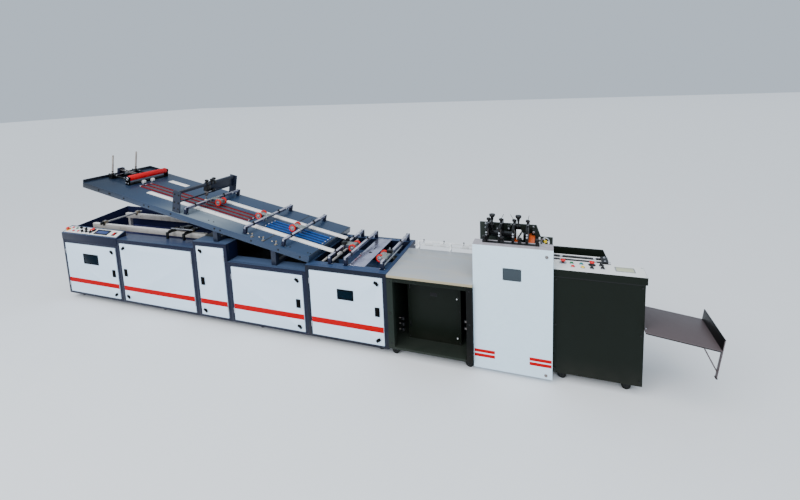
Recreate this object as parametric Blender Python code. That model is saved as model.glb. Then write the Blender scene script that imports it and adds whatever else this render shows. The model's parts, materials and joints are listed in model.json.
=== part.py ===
"""Paper pasting machine: a feeder line of low cabinets under a sloping deck, joined to a
feed table, a press tower, a console and a delivery tray. Metres, +Z up, +X along the line."""

import math

import bmesh
import bpy
from mathutils import Vector

# Fits between pieces
SEAT = 0.0003
DOOR_GAP = 0.006
LAP = 0.002
RUN = 0.005

# Left cabinets: five bays, each with one door
BAY_WIDTHS = (1.0, 1.225, 0.475, 1.0, 0.90)
BAY_TOPS = (0.822, 0.895, 0.978, 0.780, 0.853)
HINGE_SIDES = ("left", "right", "right", "left", "left")
LEFT_DEPTH = 0.960
LEFT_BASE = 0.070
STILE = 0.040
HEAD = 0.045
SILL = 0.025
FRAME_SET = 0.004
FRAME_DEPTH = 0.040
SHEET = 0.003
FLOOR_RISE = 0.020
FOOT_RADIUS = 0.030
FOOT_INSET_Y = 0.120
FEET_PER_SIDE = 4

# Doors
DOOR_THICK = 0.018
LATCH_SIZE = (0.036, 0.090)
LATCH_PROUD = 0.008
LOCK_RADIUS = 0.012
LOCK_INSET = 0.055
LATCH_INSET = 0.060
# bay: drop from the leaf's top to the window's middle, width, height
WINDOWS = {0: (0.188, 0.220, 0.110), 4: (0.218, 0.165, 0.095)}
WINDOW_PROUD = 0.003
HINGE_RADIUS = 0.006
HINGE_CLEAR = 0.001
HINGE_LENGTH = 0.030
HINGE_INSET = 0.090

# Facets of round pieces
FINE = 32
ROUND = 24
COARSE = 16

# Console box on the first bay
CONSOLE_DEPTH = 0.140
CONSOLE_FRONT_TOP = 0.905
CONSOLE_REAR_TOP = 0.960
PANEL_THICK = 0.002
PANEL_MARGIN = 0.018

# Open trough of bays 1 and 2, with the feed rails
FEED_FLOOR = 0.720
LEFT_WALL_TOP = 1.000
LEFT_WALL_FRONT_TOP = 0.925
FRONT_LEDGE_REAR = 0.215
RAIL_HEIGHT = 0.065
RAIL_WIDTH = 0.045
RAIL_TOP = 0.958
RAIL_START_X = 0.200
RAIL_END_X = 2.150
RAIL_FRONT_Y = 0.280
RAIL_REAR_Y = 0.760
RAIL_POST = 0.040
CLAMP_X = 0.420
CLAMP_ROD_RADIUS = 0.012
LEVER_XS = (1.640, 1.900)
LEVER_WIDTH = 0.030
LEVER_THICK = 0.020
LEVER_FRONT_Y = 0.170
LEVER_REAR_Y = 0.420
LEVER_TIE = 0.080

# Trough of bay 5
LEDGE_FRONT = 0.080
LEDGE_REAR = 0.075
LEDGE_SIDE = 0.036
TROUGH_FLOOR = 0.700

# Sloping deck
DECK_START_X = 0.470
DECK_FRONT_Y = 0.050
DECK_REAR_OUT = 0.070
DECK_WIDTH = LEFT_DEPTH + DECK_REAR_OUT - DECK_FRONT_Y
DECK_SKIRT = 0.068
DECK_SHEET = 0.005
DECK_SLOPE = math.radians(11.6)
DECK_OVERLAP = 0.030
RIM_HEIGHT = 0.035
RIM_SIDE_LENGTH = 0.300
SUPPORT_XS = (2.490, 3.255)
SUPPORT_BAYS = (2, 3)
SUPPORT_LEG = 0.060

# What lies on the deck, measured along it from its upper end and across it from its front
STRIP_WIDTH = 0.060
STRIP_RISE = 0.016
STRIP_NEAR = (0.820, 3.560, 0.230)
STRIP_FAR = (1.700, 3.440, 0.620)
BELT_WIDTH = 0.016
BELT_RISE = 0.012
RED_BELTS = (0.560, 2.300, 3, 0.080)
BLUE_BELTS = (2.520, 3.300, 4, 0.060)
BELT_FIRST_Y = 0.340
SHAFT_RADIUS = 0.005
BAR_XS = (1.640, 2.480, 2.980)
BAR_SIZE = 0.028
BAR_RISE = 0.085
BAR_POST = 0.030
BAR_INSET = 0.030
WHEEL_RADIUS = 0.042
WHEEL_WIDTH = 0.022
WHEEL_ARM = 0.110
SHORT_ARM = 0.068
WHEEL_YS = ((0.425, 0.520), (0.405, 0.505), (0.365, 0.475))
ARM_SIDES = (1, -1, -1)
GANTRY_X = 1.520
GANTRY_HEIGHT = 0.255
GANTRY_LENGTH = 0.110
GANTRY_PLATE = 0.012
GANTRY_INSET = 0.015
GANTRY_BEAM = 0.034
GANTRY_SCREEN = 0.008
LOWER_RAIL_Z = 0.110
FEED_ROLLER_X = 0.420
FEED_ROLLER_RADIUS = 0.036
FEED_ROLLER_Y = (0.300, 0.860)
FEED_ROLLER_RISE = 0.050
PIN_RADIUS = 0.008
PIN_CLEAR = 0.0006
GUIDE_ROD_HEIGHT = 0.320
GUIDE_ROD_RADIUS = 0.006
GUIDE_X = 0.055
GUIDE_YS = (0.300, 0.640)
GUIDE_BLOCK = 0.060
GUIDE_ARM_END = 0.370
GUIDE_ARM = 0.016

# Bars over the trough of bay 5
TROUGH_BAR_XS = (3.950, 4.130, 4.528)
TROUGH_BAR_RISE = 0.060
TROUGH_WHEEL_YS = ((0.385, 0.510), (0.200, 0.320))
TROUGH_PLATE_X = (4.152, 4.330)
TROUGH_PLATE_LAP = 0.020
CYLINDER_RADIUS = 0.035
CYLINDER_X = (4.050, 4.500)
CYLINDER_YS = (0.300, 0.640)

# Feed table
TABLE_LENGTH = 0.830
TABLE_DEPTH = 0.720
TABLE_TOP = 0.850
TABLE_THICK = 0.042
TABLE_POST = 0.060
TABLE_BASE = 0.090
PAN_THICK = 0.022
CASTER_RADIUS = 0.0375
CASTER_WIDTH = 0.028
CASTER_INSET = 0.080
TABLE_CASTER_INSET = 0.048
CONSOLE_CASTER_INSET = 0.120
BOX_X = (0.145, 0.680)
BOX_FRONT_Y = 0.200
BOX_REAR_GAP = 0.120
SIDE_RAIL_OUT = 0.080
SIDE_RAIL_Y = TABLE_DEPTH + SIDE_RAIL_OUT
SIDE_RAIL_Z = 0.895
SIDE_RAIL_SIZE = 0.020

# Press tower
TOWER_LENGTH = 0.680
COVER_FRONT_Y = 0.030
COVER_DEPTH = 0.140
COVER_BOTTOM = 0.042
COVER_TOP = 1.222
TOWER_DEPTH = 0.720
REAR_PLATE_Y = 0.450
REAR_PLATE_THICK = 0.020
REAR_PLATE_TOP = 1.295
REAR_PLATE_TOP_X = 0.532
SHOULDER_X = 0.570
SHOULDER_TOP = 1.185
PRESS_RADIUS = 0.035
PRESS_XS = (0.355, 0.485)
PRESS_Z = 1.181
SCREW_XS = (0.142, 0.378)
SCREW_Y = 0.300
SCREW_TOP = 1.425
SCREW_RADIUS = 0.009
HANDLE_RADIUS = 0.026
HANDLE_HEIGHT = 0.022
CHEEK_XS = (0.108, 0.222, 0.341, 0.460)
CHEEK_THICK = 0.022
CHEEK_TOP = 1.340
CHEEK_FRONT_Y = 0.130
TIE_HEIGHT = 0.040
TIE_DEPTH = 0.060
REAR_KNOB_HEIGHT = 0.045
KNOB_RADIUS = 0.017
FRONT_KNOB_XS = (0.095, 0.250, 0.400, 0.550)
FRONT_KNOB_Y = 0.110
FRONT_KNOB_HEIGHT = 0.058
FOOT_STRIP = 0.006
CRANK_RADIUS = 0.040
CRANK_X = 0.612
CRANK_Z = 1.150
CRANK_KNOB_X = 0.028
CRANK_THICK = 0.020
CRANK_KNOB_REACH = 0.060

# Console
CONSOLE_LENGTH = 0.710
CABINET_FRONT_Y = 0.080
CABINET_DEPTH = 0.520
CABINET_TOP = 0.985
CABINET_STEP_TOP = 0.620
LIP_TOP = 1.045
PANEL_DEPTH = 0.190
LIP_OVERHANG = 0.012
BACK_Y = 0.530
BACK_LENGTH = 0.432
BACK_SLOPE_RUN = 0.040
BACK_TOP = 1.074
GUIDE_BAR_YS = (0.300, 0.365, 0.445)
GUIDE_BAR_Z = 1.036
GUIDE_BAR_SIZE = 0.016
GUIDE_BAR_LENGTH = 0.400

# Delivery tray
TRAY_Y = (0.040, 0.520)
TRAY_LENGTH = 0.530
TRAY_Z = 0.600
TRAY_SLOPE = math.radians(7.3)
TRAY_THICK = 0.006
END_HEIGHT = 0.090
LEG_LENGTH = 0.240
LEG_WIDTH = 0.030
STRUT_RADIUS = 0.005
STRUT_FOOT = 0.190
STRUT_REACH = 0.130

LEFT_LENGTH = sum(BAY_WIDTHS)
TABLE_X = LEFT_LENGTH + SEAT
TOWER_X = TABLE_X + TABLE_LENGTH + SEAT
CONSOLE_X = TOWER_X + TOWER_LENGTH + SEAT
TRAY_X = CONSOLE_X + CONSOLE_LENGTH - LIP_OVERHANG + SEAT + TRAY_THICK * math.sin(TRAY_SLOPE)
TRAY_REACH = TRAY_LENGTH * math.cos(TRAY_SLOPE)
LINE_END = TRAY_X + TRAY_REACH + END_HEIGHT * math.sin(TRAY_SLOPE)
FRONT_Y = -LATCH_PROUD
REAR_Y = DECK_FRONT_Y + DECK_WIDTH

for old in list(bpy.data.objects):
    bpy.data.objects.remove(old, do_unlink=True)
PARTS = bpy.data.collections.new("paper_pasting_machine")
CUTTERS = bpy.data.collections.new("cutters")
for group in (PARTS, CUTTERS):
    bpy.context.scene.collection.children.link(group)


def finish(name, colour, roughness, metallic=0.0):
    """Return a Principled material."""
    material = bpy.data.materials.new(name)
    material.use_nodes = True
    shader = material.node_tree.nodes["Principled BSDF"]
    shader.inputs["Base Color"].default_value = (*colour, 1.0)
    shader.inputs["Roughness"].default_value = roughness
    shader.inputs["Metallic"].default_value = metallic
    return material


NAVY = finish("navy_paint", (0.045, 0.06, 0.11), 0.4)
DARK_NAVY = finish("dark_navy_paint", (0.01, 0.018, 0.07), 0.4)
WHITE = finish("white_paint", (0.72, 0.78, 0.82), 0.35)
CREAM = finish("cream_paint", (0.62, 0.60, 0.55), 0.45)
GREEN = finish("dark_green_paint", (0.012, 0.018, 0.014), 0.35)
GREY_TOP = finish("grey_tabletop", (0.38, 0.40, 0.42), 0.4)
STEEL = finish("bright_steel", (0.6, 0.62, 0.64), 0.3, 1.0)
BLACK = finish("black_paint", (0.01, 0.01, 0.012), 0.4)
RED = finish("red_rubber", (0.55, 0.01, 0.015), 0.5)
BLUE = finish("blue_belt", (0.01, 0.10, 0.38), 0.6)
ORANGE = finish("orange_roller", (0.7, 0.18, 0.05), 0.5)


def empty(name, location, parent=None):
    """Return an empty that carries other objects."""
    carrier = bpy.data.objects.new(name, None)
    carrier.location = location
    carrier.parent = parent
    PARTS.objects.link(carrier)
    return carrier


ROOT = empty("line_origin", (-LINE_END / 2, -(FRONT_Y + REAR_Y) / 2, 0.0))
DECK_LENGTH = (sum(BAY_WIDTHS[:4]) + DECK_OVERLAP - DECK_START_X) / math.cos(DECK_SLOPE)
DECK_START_Z = (BAY_TOPS[4] + SEAT + DECK_LENGTH * math.sin(DECK_SLOPE)
                + DECK_SKIRT * math.cos(DECK_SLOPE))
DECK = empty("deck_origin", (DECK_START_X, DECK_FRONT_Y, DECK_START_Z), ROOT)
DECK.rotation_euler = (0.0, DECK_SLOPE, 0.0)
TRAY = empty("tray_origin", (TRAY_X, 0.0, TRAY_Z), ROOT)
TRAY.rotation_euler = (0.0, TRAY_SLOPE, 0.0)


def place(name, mesh_data, material, origin, parent):
    """Link a finished mesh as one named piece."""
    piece = bpy.data.objects.new(name, mesh_data)
    piece.location = origin
    piece.parent = parent or ROOT
    mesh_data.materials.append(material)
    PARTS.objects.link(piece)
    return piece


def block(name, low, high, material=STEEL, origin=None, parent=None):
    """Return a box between two corners."""
    low = Vector(low)
    high = Vector(high)
    centre = (low + high) / 2
    origin = Vector(origin) if origin else centre
    work = bmesh.new()
    bmesh.ops.create_cube(work, size=1.0)
    bmesh.ops.scale(work, vec=high - low, verts=work.verts)
    bmesh.ops.translate(work, vec=centre - origin, verts=work.verts)
    mesh = bpy.data.meshes.new(name)
    work.to_mesh(mesh)
    work.free()
    return place(name, mesh, material, origin, parent)


def rod(name, start, end, radius, material=STEEL, origin=None, parent=None, sides=ROUND):
    """Return a round bar between two points."""
    start = Vector(start)
    end = Vector(end)
    along = end - start
    centre = (start + end) / 2
    origin = Vector(origin) if origin else centre
    work = bmesh.new()
    bmesh.ops.create_cone(work, cap_ends=True, segments=sides, radius1=radius,
                          radius2=radius, depth=along.length)
    turn = along.to_track_quat("Z", "Y").to_matrix()
    bmesh.ops.rotate(work, matrix=turn, verts=work.verts)
    bmesh.ops.translate(work, vec=centre - origin, verts=work.verts)
    mesh = bpy.data.meshes.new(name)
    work.to_mesh(mesh)
    work.free()
    return place(name, mesh, material, origin, parent)


def combine(main, tools, operation):
    """Add a Boolean for each tool and put the tools with the cutters."""
    for tool in tools:
        PARTS.objects.unlink(tool)
        CUTTERS.objects.link(tool)
        tool.hide_render = True
        tool.display_type = "WIRE"
        step = main.modifiers.new(operation.lower(), "BOOLEAN")
        step.operation = operation
        step.solver = "EXACT"
        step.object = tool
    return main


def fuse(main, *tools):
    """Join the tools to the main piece."""
    return combine(main, tools, "UNION")


def cut(main, *tools):
    """Cut the tools out of the main piece."""
    return combine(main, tools, "DIFFERENCE")


def outline(name, points, thick, start, plane, material):
    """Extrude a flat outline from start along the plane's normal, +X for YZ and +Y for XZ."""
    curve = bpy.data.curves.new(name, "CURVE")
    curve.dimensions = "2D"
    curve.fill_mode = "BOTH"
    curve.extrude = thick / 2
    curve.render_resolution_u = 0
    line = curve.splines.new("POLY")
    line.points.add(len(points) - 1)
    for point, (across, up) in zip(line.points, points):
        point.co = (across, up, 0.0, 1.0)
    line.use_cyclic_u = True
    if plane == "YZ":
        piece = place(name, curve, material, (start + thick / 2, 0.0, 0.0), None)
        piece.rotation_euler = (math.pi / 2, 0.0, math.pi / 2)
    else:
        piece = place(name, curve, material, (0.0, start + thick / 2, 0.0), None)
        piece.rotation_euler = (math.pi / 2, 0.0, 0.0)
    return piece


def as_mesh(piece):
    """Turn an outline into a mesh of the same name, so that it can be cut."""
    graph = bpy.context.evaluated_depsgraph_get()
    mesh = bpy.data.meshes.new_from_object(piece.evaluated_get(graph))
    work = bmesh.new()
    work.from_mesh(mesh)
    bmesh.ops.remove_doubles(work, verts=work.verts, dist=SEAT / 3)
    work.to_mesh(mesh)
    work.free()
    name = piece.name
    piece.name = f"{name}_curve"
    solid = bpy.data.objects.new(name, mesh)
    solid.parent = ROOT
    solid.location = piece.location
    solid.rotation_euler = piece.rotation_euler
    PARTS.objects.link(solid)
    bpy.data.objects.remove(piece, do_unlink=True)
    return solid


def bay_left(index):
    """Return the x of a bay's left edge."""
    return sum(BAY_WIDTHS[:index])


def bay_opening(index):
    """Return the door opening's low and high corners in x and z."""
    left = bay_left(index)
    return (left + STILE, LEFT_BASE + SILL,
            left + BAY_WIDTHS[index] - STILE, BAY_TOPS[index] - HEAD)


def hinge_line(index):
    """Return the x of a door's hinge axis and the low ends of its two hinges."""
    x0, z0, x1, z1 = bay_opening(index)
    half = DOOR_GAP / 2
    hinge_x = x0 + half if HINGE_SIDES[index] == "left" else x1 - half
    return hinge_x, (z0 + HINGE_INSET, z1 - HINGE_INSET - 2 * HINGE_LENGTH)


def hinge_barrel(index, low, upper, radius, spare=0.0):
    """Return the lower or upper half of a hinge barrel, longer by spare at its outer end."""
    hinge_x, _ = hinge_line(index)
    start = low + HINGE_LENGTH + SEAT if upper else low - spare
    end = low + 2 * HINGE_LENGTH + spare if upper else low + HINGE_LENGTH
    if spare and upper:
        start -= SEAT
    if spare and not upper:
        end += SEAT
    return rod("hinge_barrel", (hinge_x, 0.0, start), (hinge_x, 0.0, end), radius,
               sides=COARSE)


def front_frame(index):
    """Make the rectangular frame that a door closes, with the lower hinge barrels."""
    left = bay_left(index) + SEAT
    right = bay_left(index) + BAY_WIDTHS[index]
    back = FRAME_SET + FRAME_DEPTH
    x0, z0, x1, z1 = bay_opening(index)
    frame = block(f"bay_frame_{index + 1}", (left, FRAME_SET, LEFT_BASE),
                  (right, back, BAY_TOPS[index]), NAVY)
    hole = block(f"bay_hole_{index + 1}", (x0, FRAME_SET - LAP, z0), (x1, back + LAP, z1))
    _, lows = hinge_line(index)
    room = HINGE_RADIUS + HINGE_CLEAR
    cut(frame, hole, *[hinge_barrel(index, low, True, room, HINGE_CLEAR) for low in lows])
    fuse(frame, *[hinge_barrel(index, low, False, HINGE_RADIUS) for low in lows])


def door(index):
    """Make a door leaf on its hinge line, with a latch, two locks and perhaps a data window."""
    x0, z0, x1, z1 = bay_opening(index)
    x0, z0, x1, z1 = x0 + DOOR_GAP, z0 + DOOR_GAP, x1 - DOOR_GAP, z1 - DOOR_GAP
    on_left = HINGE_SIDES[index] == "left"
    hinge_x, lows = hinge_line(index)
    hinge = (hinge_x, 0.0, (z0 + z1) / 2)
    leaf = block(f"door_{index + 1}", (x0, 0.0, z0), (x1, DOOR_THICK, z1), WHITE, hinge)
    free_x = x1 if on_left else x0
    inward = -1 if on_left else 1
    latch_x = free_x + inward * LATCH_INSET
    middle = (z0 + z1) / 2
    fittings = [block("latch", (latch_x - LATCH_SIZE[0] / 2, -LATCH_PROUD, middle - LATCH_SIZE[1] / 2),
                      (latch_x + LATCH_SIZE[0] / 2, LAP, middle + LATCH_SIZE[1] / 2))]
    for lock_z in (z0 + LOCK_INSET, z1 - LOCK_INSET):
        fittings.append(rod("lock", (latch_x, -LATCH_PROUD / 2, lock_z), (latch_x, LAP, lock_z),
                            LOCK_RADIUS))
    if index in WINDOWS:
        centre_x = (x0 + x1) / 2
        drop, wide, tall = WINDOWS[index]
        fittings.append(block("window", (centre_x - wide / 2, -WINDOW_PROUD, z1 - drop - tall / 2),
                              (centre_x + wide / 2, LAP, z1 - drop + tall / 2)))
    room = HINGE_RADIUS + HINGE_CLEAR
    cut(leaf, *[hinge_barrel(index, low, False, room, HINGE_CLEAR) for low in lows])
    fittings += [hinge_barrel(index, low, True, HINGE_RADIUS) for low in lows]
    fuse(leaf, *fittings)


def left_cabinets():
    """Make the five bays' frames, doors, floor and walls."""
    for index in range(len(BAY_WIDTHS)):
        front_frame(index)
        door(index)
    back = FRAME_SET + FRAME_DEPTH + SEAT
    rear = LEFT_DEPTH - SHEET - SEAT
    inner_left = SHEET + SEAT
    inner_right = LEFT_LENGTH - SHEET - SEAT
    floor = block("cabinet_floor", (inner_left, back, LEFT_BASE),
                  (inner_right, rear, LEFT_BASE + FLOOR_RISE), NAVY)
    feet = []
    step = (LEFT_LENGTH - 2 * FOOT_INSET_Y) / (FEET_PER_SIDE - 1)
    for count in range(FEET_PER_SIDE):
        for foot_y in (FOOT_INSET_Y, LEFT_DEPTH - FOOT_INSET_Y):
            foot_x = FOOT_INSET_Y + count * step
            feet.append(rod("foot", (foot_x, foot_y, 0.0), (foot_x, foot_y, LEFT_BASE + LAP),
                            FOOT_RADIUS))
    fuse(floor, *feet)
    console_back = CONSOLE_DEPTH + SEAT
    wall_y = LEFT_DEPTH - SHEET
    walls = block("cabinet_walls", (0.0, wall_y, LEFT_BASE),
                  (LEFT_LENGTH, LEFT_DEPTH, BAY_TOPS[3]), NAVY)
    step_low = BAY_TOPS[3] - LAP
    end_low = BAY_TOPS[0] - LAP
    end_back = LEFT_DEPTH - LAP
    left_end = as_mesh(outline("left_end_high",
                               [(console_back, end_low), (end_back, end_low),
                                (end_back, LEFT_WALL_TOP), (console_back, LEFT_WALL_FRONT_TOP)],
                               SHEET, 0.0, "YZ", NAVY))
    fuse(walls,
         block("rear_step_left", (0.0, wall_y, step_low),
               (bay_left(2), LEFT_DEPTH, LEFT_WALL_TOP)),
         block("rear_step_middle", (bay_left(2) - LAP, wall_y, step_low),
               (bay_left(3), LEFT_DEPTH, BAY_TOPS[2])),
         block("rear_step_right", (bay_left(4), wall_y, step_low),
               (LEFT_LENGTH, LEFT_DEPTH, BAY_TOPS[4])),
         block("left_end_low", (0.0, back, LEFT_BASE), (SHEET, LEFT_DEPTH - LAP, BAY_TOPS[0])),
         left_end,
         block("right_end", (LEFT_LENGTH - SHEET, back, LEFT_BASE),
               (LEFT_LENGTH, LEFT_DEPTH - LAP, BAY_TOPS[4])))


def console_box():
    """Make the control box on the first bay and its sloping panel."""
    bottom = BAY_TOPS[0] + SEAT
    right = BAY_WIDTHS[0]
    outline("control_box", [(0.0, bottom), (CONSOLE_DEPTH, bottom),
                            (CONSOLE_DEPTH, CONSOLE_REAR_TOP), (0.0, CONSOLE_FRONT_TOP)],
            right, 0.0, "YZ", NAVY)
    rise = (CONSOLE_REAR_TOP - CONSOLE_FRONT_TOP) / CONSOLE_DEPTH
    low_y = PANEL_MARGIN
    high_y = CONSOLE_DEPTH - PANEL_MARGIN
    low_z = CONSOLE_FRONT_TOP + rise * low_y + SEAT
    high_z = CONSOLE_FRONT_TOP + rise * high_y + SEAT
    outline("control_panel", [(low_y, low_z), (high_y, high_z), (high_y, high_z + PANEL_THICK),
                              (low_y, low_z + PANEL_THICK)],
            right - 2 * PANEL_MARGIN, PANEL_MARGIN, "YZ", WHITE)


def cabinet_tops():
    """Make the feed trough with its front ledge, the covers and the trough of bay 5."""
    back = FRAME_SET + FRAME_DEPTH + SEAT
    rear = LEFT_DEPTH - SHEET - SEAT
    left = SHEET + SEAT
    end = bay_left(2) - SEAT
    ledge_top = BAY_TOPS[1]
    box_back = CONSOLE_DEPTH + SEAT
    trough = block("feed_trough_floor", (left, back, FEED_FLOOR - SHEET), (end, rear, FEED_FLOOR),
                   DARK_NAVY)
    front_ledge = block("front_ledge", (left, back, ledge_top - SHEET),
                        (end, FRONT_LEDGE_REAR, ledge_top))
    skirt = block("ledge_skirt", (left, FRONT_LEDGE_REAR - SHEET, FEED_FLOOR - LAP),
                  (end, FRONT_LEDGE_REAR, ledge_top - LAP / 2))
    box_room = block("box_room", (0.0, 0.0, BAY_TOPS[0]),
                     (bay_left(1) + SEAT, box_back, ledge_top + LAP))
    fuse(trough, front_ledge, skirt)
    cut(trough, box_room)
    start = bay_left(2) + SEAT
    end = bay_left(3)
    hood = block("cabinet_covers", (start, back, BAY_TOPS[2] - SHEET), (end, rear, BAY_TOPS[2]), NAVY)
    near = block("hood_left", (start, back, FEED_FLOOR - SHEET),
                 (start + SHEET, rear, BAY_TOPS[2] - LAP / 2))
    far = block("hood_right", (end - SHEET, back, BAY_TOPS[3] - SHEET),
                (end, rear, BAY_TOPS[2] - LAP / 2))
    low_cover = block("low_cover", (end - LAP, back, BAY_TOPS[3] - SHEET),
                      (bay_left(4) - SEAT, rear, BAY_TOPS[3]))
    fuse(hood, near, far, low_cover)
    start = bay_left(4) + SEAT
    end = LEFT_LENGTH - SHEET - SEAT
    top = BAY_TOPS[4]
    low = Vector((start + LEDGE_SIDE, back + LEDGE_FRONT, TROUGH_FLOOR))
    high = Vector((end - LEDGE_SIDE, rear - LEDGE_REAR, top))
    skin = Vector((SHEET, SHEET, SHEET))
    ledge = block("end_trough", (start, back, top - SHEET), (end, rear, top), DARK_NAVY)
    pan = block("trough_pan", low - skin, high + Vector((SHEET, SHEET, -SHEET / 2)))
    well = block("trough_well", low, high + Vector((0.0, 0.0, LAP)))
    fuse(ledge, pan)
    cut(ledge, well)
    block("trough_plate", (TROUGH_PLATE_X[0], low.y - TROUGH_PLATE_LAP, top + SEAT),
          (TROUGH_PLATE_X[1], high.y + TROUGH_PLATE_LAP, top + SEAT + SHEET), STEEL)


def feed_rails():
    """Make the two feed rails in the left trough, the clamp rod and the lever."""
    rails = []
    pieces = []
    for rail_y in (RAIL_FRONT_Y, RAIL_REAR_Y):
        rails.append(block("second_rail" if rails else "feed_rails",
                           (RAIL_START_X, rail_y, RAIL_TOP - RAIL_HEIGHT),
                           (RAIL_END_X, rail_y + RAIL_WIDTH, RAIL_TOP), CREAM))
        for post_x in (RAIL_START_X + RAIL_POST, RAIL_END_X - 2 * RAIL_POST):
            pieces.append(block("rail_post", (post_x, rail_y + LAP, FEED_FLOOR + SEAT),
                                (post_x + RAIL_POST, rail_y + RAIL_WIDTH - LAP,
                                 RAIL_TOP - RAIL_HEIGHT + LAP)))
        pieces.append(block("clamp_block", (CLAMP_X - RAIL_POST / 2, rail_y + LAP, RAIL_TOP - LAP),
                            (CLAMP_X + RAIL_POST / 2, rail_y + RAIL_WIDTH - LAP,
                             RAIL_TOP + RAIL_POST)))
    rod_z = RAIL_TOP + RAIL_POST / 2
    pieces.append(rod("clamp_rod", (CLAMP_X, RAIL_FRONT_Y - RAIL_POST, rod_z),
                      (CLAMP_X, RAIL_REAR_Y + RAIL_WIDTH + RAIL_POST, rod_z), CLAMP_ROD_RADIUS))
    fuse(*rails, *pieces)
    low_z = RAIL_TOP + SEAT
    high_z = low_z + LEVER_THICK
    arms = [block("lever_arm" if count else "clamp_lever", (arm_x, LEVER_FRONT_Y, low_z),
                  (arm_x + LEVER_WIDTH, LEVER_REAR_Y, high_z), BLACK)
            for count, arm_x in enumerate(LEVER_XS)]
    tie = block("lever_tie", (LEVER_XS[0] + LAP, LEVER_REAR_Y - LEVER_TIE, low_z + LAP),
                (LEVER_XS[1] + LAP, LEVER_REAR_Y - LAP, high_z + LAP))
    feet = [block("lever_foot", (arm_x + LAP, LEVER_FRONT_Y - LAP, BAY_TOPS[1] + SEAT),
                  (arm_x + LEVER_WIDTH - LAP, LEVER_FRONT_Y + LEVER_THICK, high_z - LAP))
            for arm_x in LEVER_XS]
    fuse(*arms, tie, *feet)


def deck():
    """Make the sloping deck, its rim and the two portals that carry it."""
    top = block("deck", (0.0, 0.0, -DECK_SKIRT), (DECK_LENGTH, DECK_WIDTH, 0.0), NAVY,
                (0.0, 0.0, 0.0), DECK)
    hollow = block("deck_hollow", (DECK_SHEET, DECK_SHEET, -DECK_SKIRT - LAP),
                   (DECK_LENGTH - DECK_SHEET, DECK_WIDTH - DECK_SHEET, -DECK_SHEET), parent=DECK)
    cut(top, hollow)
    rim = block("deck_rim", (0.0, 0.0, -LAP), (DECK_SHEET, DECK_WIDTH, RIM_HEIGHT), parent=DECK)
    side = block("rim_side", (LAP, DECK_WIDTH - DECK_SHEET, -LAP),
                 (RIM_SIDE_LENGTH, DECK_WIDTH, RIM_HEIGHT), parent=DECK)
    fuse(top, rim, side)
    for count, (leg_x, bay) in enumerate(zip(SUPPORT_XS, SUPPORT_BAYS)):
        low_z = BAY_TOPS[bay] + SEAT
        front = DECK_FRONT_Y
        rear = LEFT_DEPTH - SHEET - 2 * SEAT
        tall = DECK_START_Z
        name = f"deck_support_{count + 1}"
        right = leg_x + SUPPORT_LEG
        portal = block(name, (leg_x, front, low_z), (right, front + SUPPORT_LEG, tall), NAVY)
        far_leg = block("far_leg", (leg_x, rear - SUPPORT_LEG, low_z), (right, rear, tall))
        beam = block("portal_beam", (leg_x, front + LAP, low_z),
                     (right, rear - LAP, low_z + SUPPORT_LEG / 2))
        keep_out = block("deck_space", (-SUPPORT_LEG, -SUPPORT_LEG, -DECK_SKIRT - SEAT),
                         (DECK_LENGTH + SUPPORT_LEG, DECK_WIDTH + SUPPORT_LEG, DECK_START_Z),
                         parent=DECK)
        fuse(portal, far_leg, beam)
        cut(portal, keep_out)


def belts():
    """Make the two guide strips and the red and blue belt sets on the deck."""
    for name, (start, end, across) in (("guide_strip_near", STRIP_NEAR),
                                       ("guide_strip_far", STRIP_FAR)):
        block(name, (start, across, SEAT), (end, across + STRIP_WIDTH, STRIP_RISE), WHITE,
              parent=DECK)
    for name, (start, end, count, pitch), material in (("red_belts", RED_BELTS, RED),
                                                       ("blue_belts", BLUE_BELTS, BLUE)):
        lanes = [BELT_FIRST_Y + lane * pitch for lane in range(count)]
        lane_blocks = [block(name if lane == 0 else "belt_lane", (start, across, SEAT),
                             (end, across + BELT_WIDTH, BELT_RISE), material, parent=DECK)
                       for lane, across in enumerate(lanes)]
        shafts = [rod("belt_shaft", (along, lanes[0] + LAP, SEAT + SHAFT_RADIUS),
                      (along, lanes[-1] + BELT_WIDTH - LAP, SEAT + SHAFT_RADIUS), SHAFT_RADIUS,
                      parent=DECK)
                  for along in (start + 2 * SHAFT_RADIUS, end - 2 * SHAFT_RADIUS)]
        fuse(lane_blocks[0], *lane_blocks[1:], *shafts)


def cross_bar(number, along, low_z, low_y, high_y, rise, parent):
    """Make a cross bar on two posts."""
    half = BAR_SIZE / 2
    bar = block(f"cross_bar_{number}", (along - half, low_y, low_z + rise - BAR_SIZE),
                (along + half, high_y, low_z + rise), STEEL, parent=parent)
    posts = [block("bar_post", (along - half - LAP, post_y, low_z),
                   (along + half + LAP, post_y + BAR_POST, low_z + rise - LAP), parent=parent)
             for post_y in (low_y + LAP, high_y - LAP - BAR_POST)]
    return fuse(bar, *posts)


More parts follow.
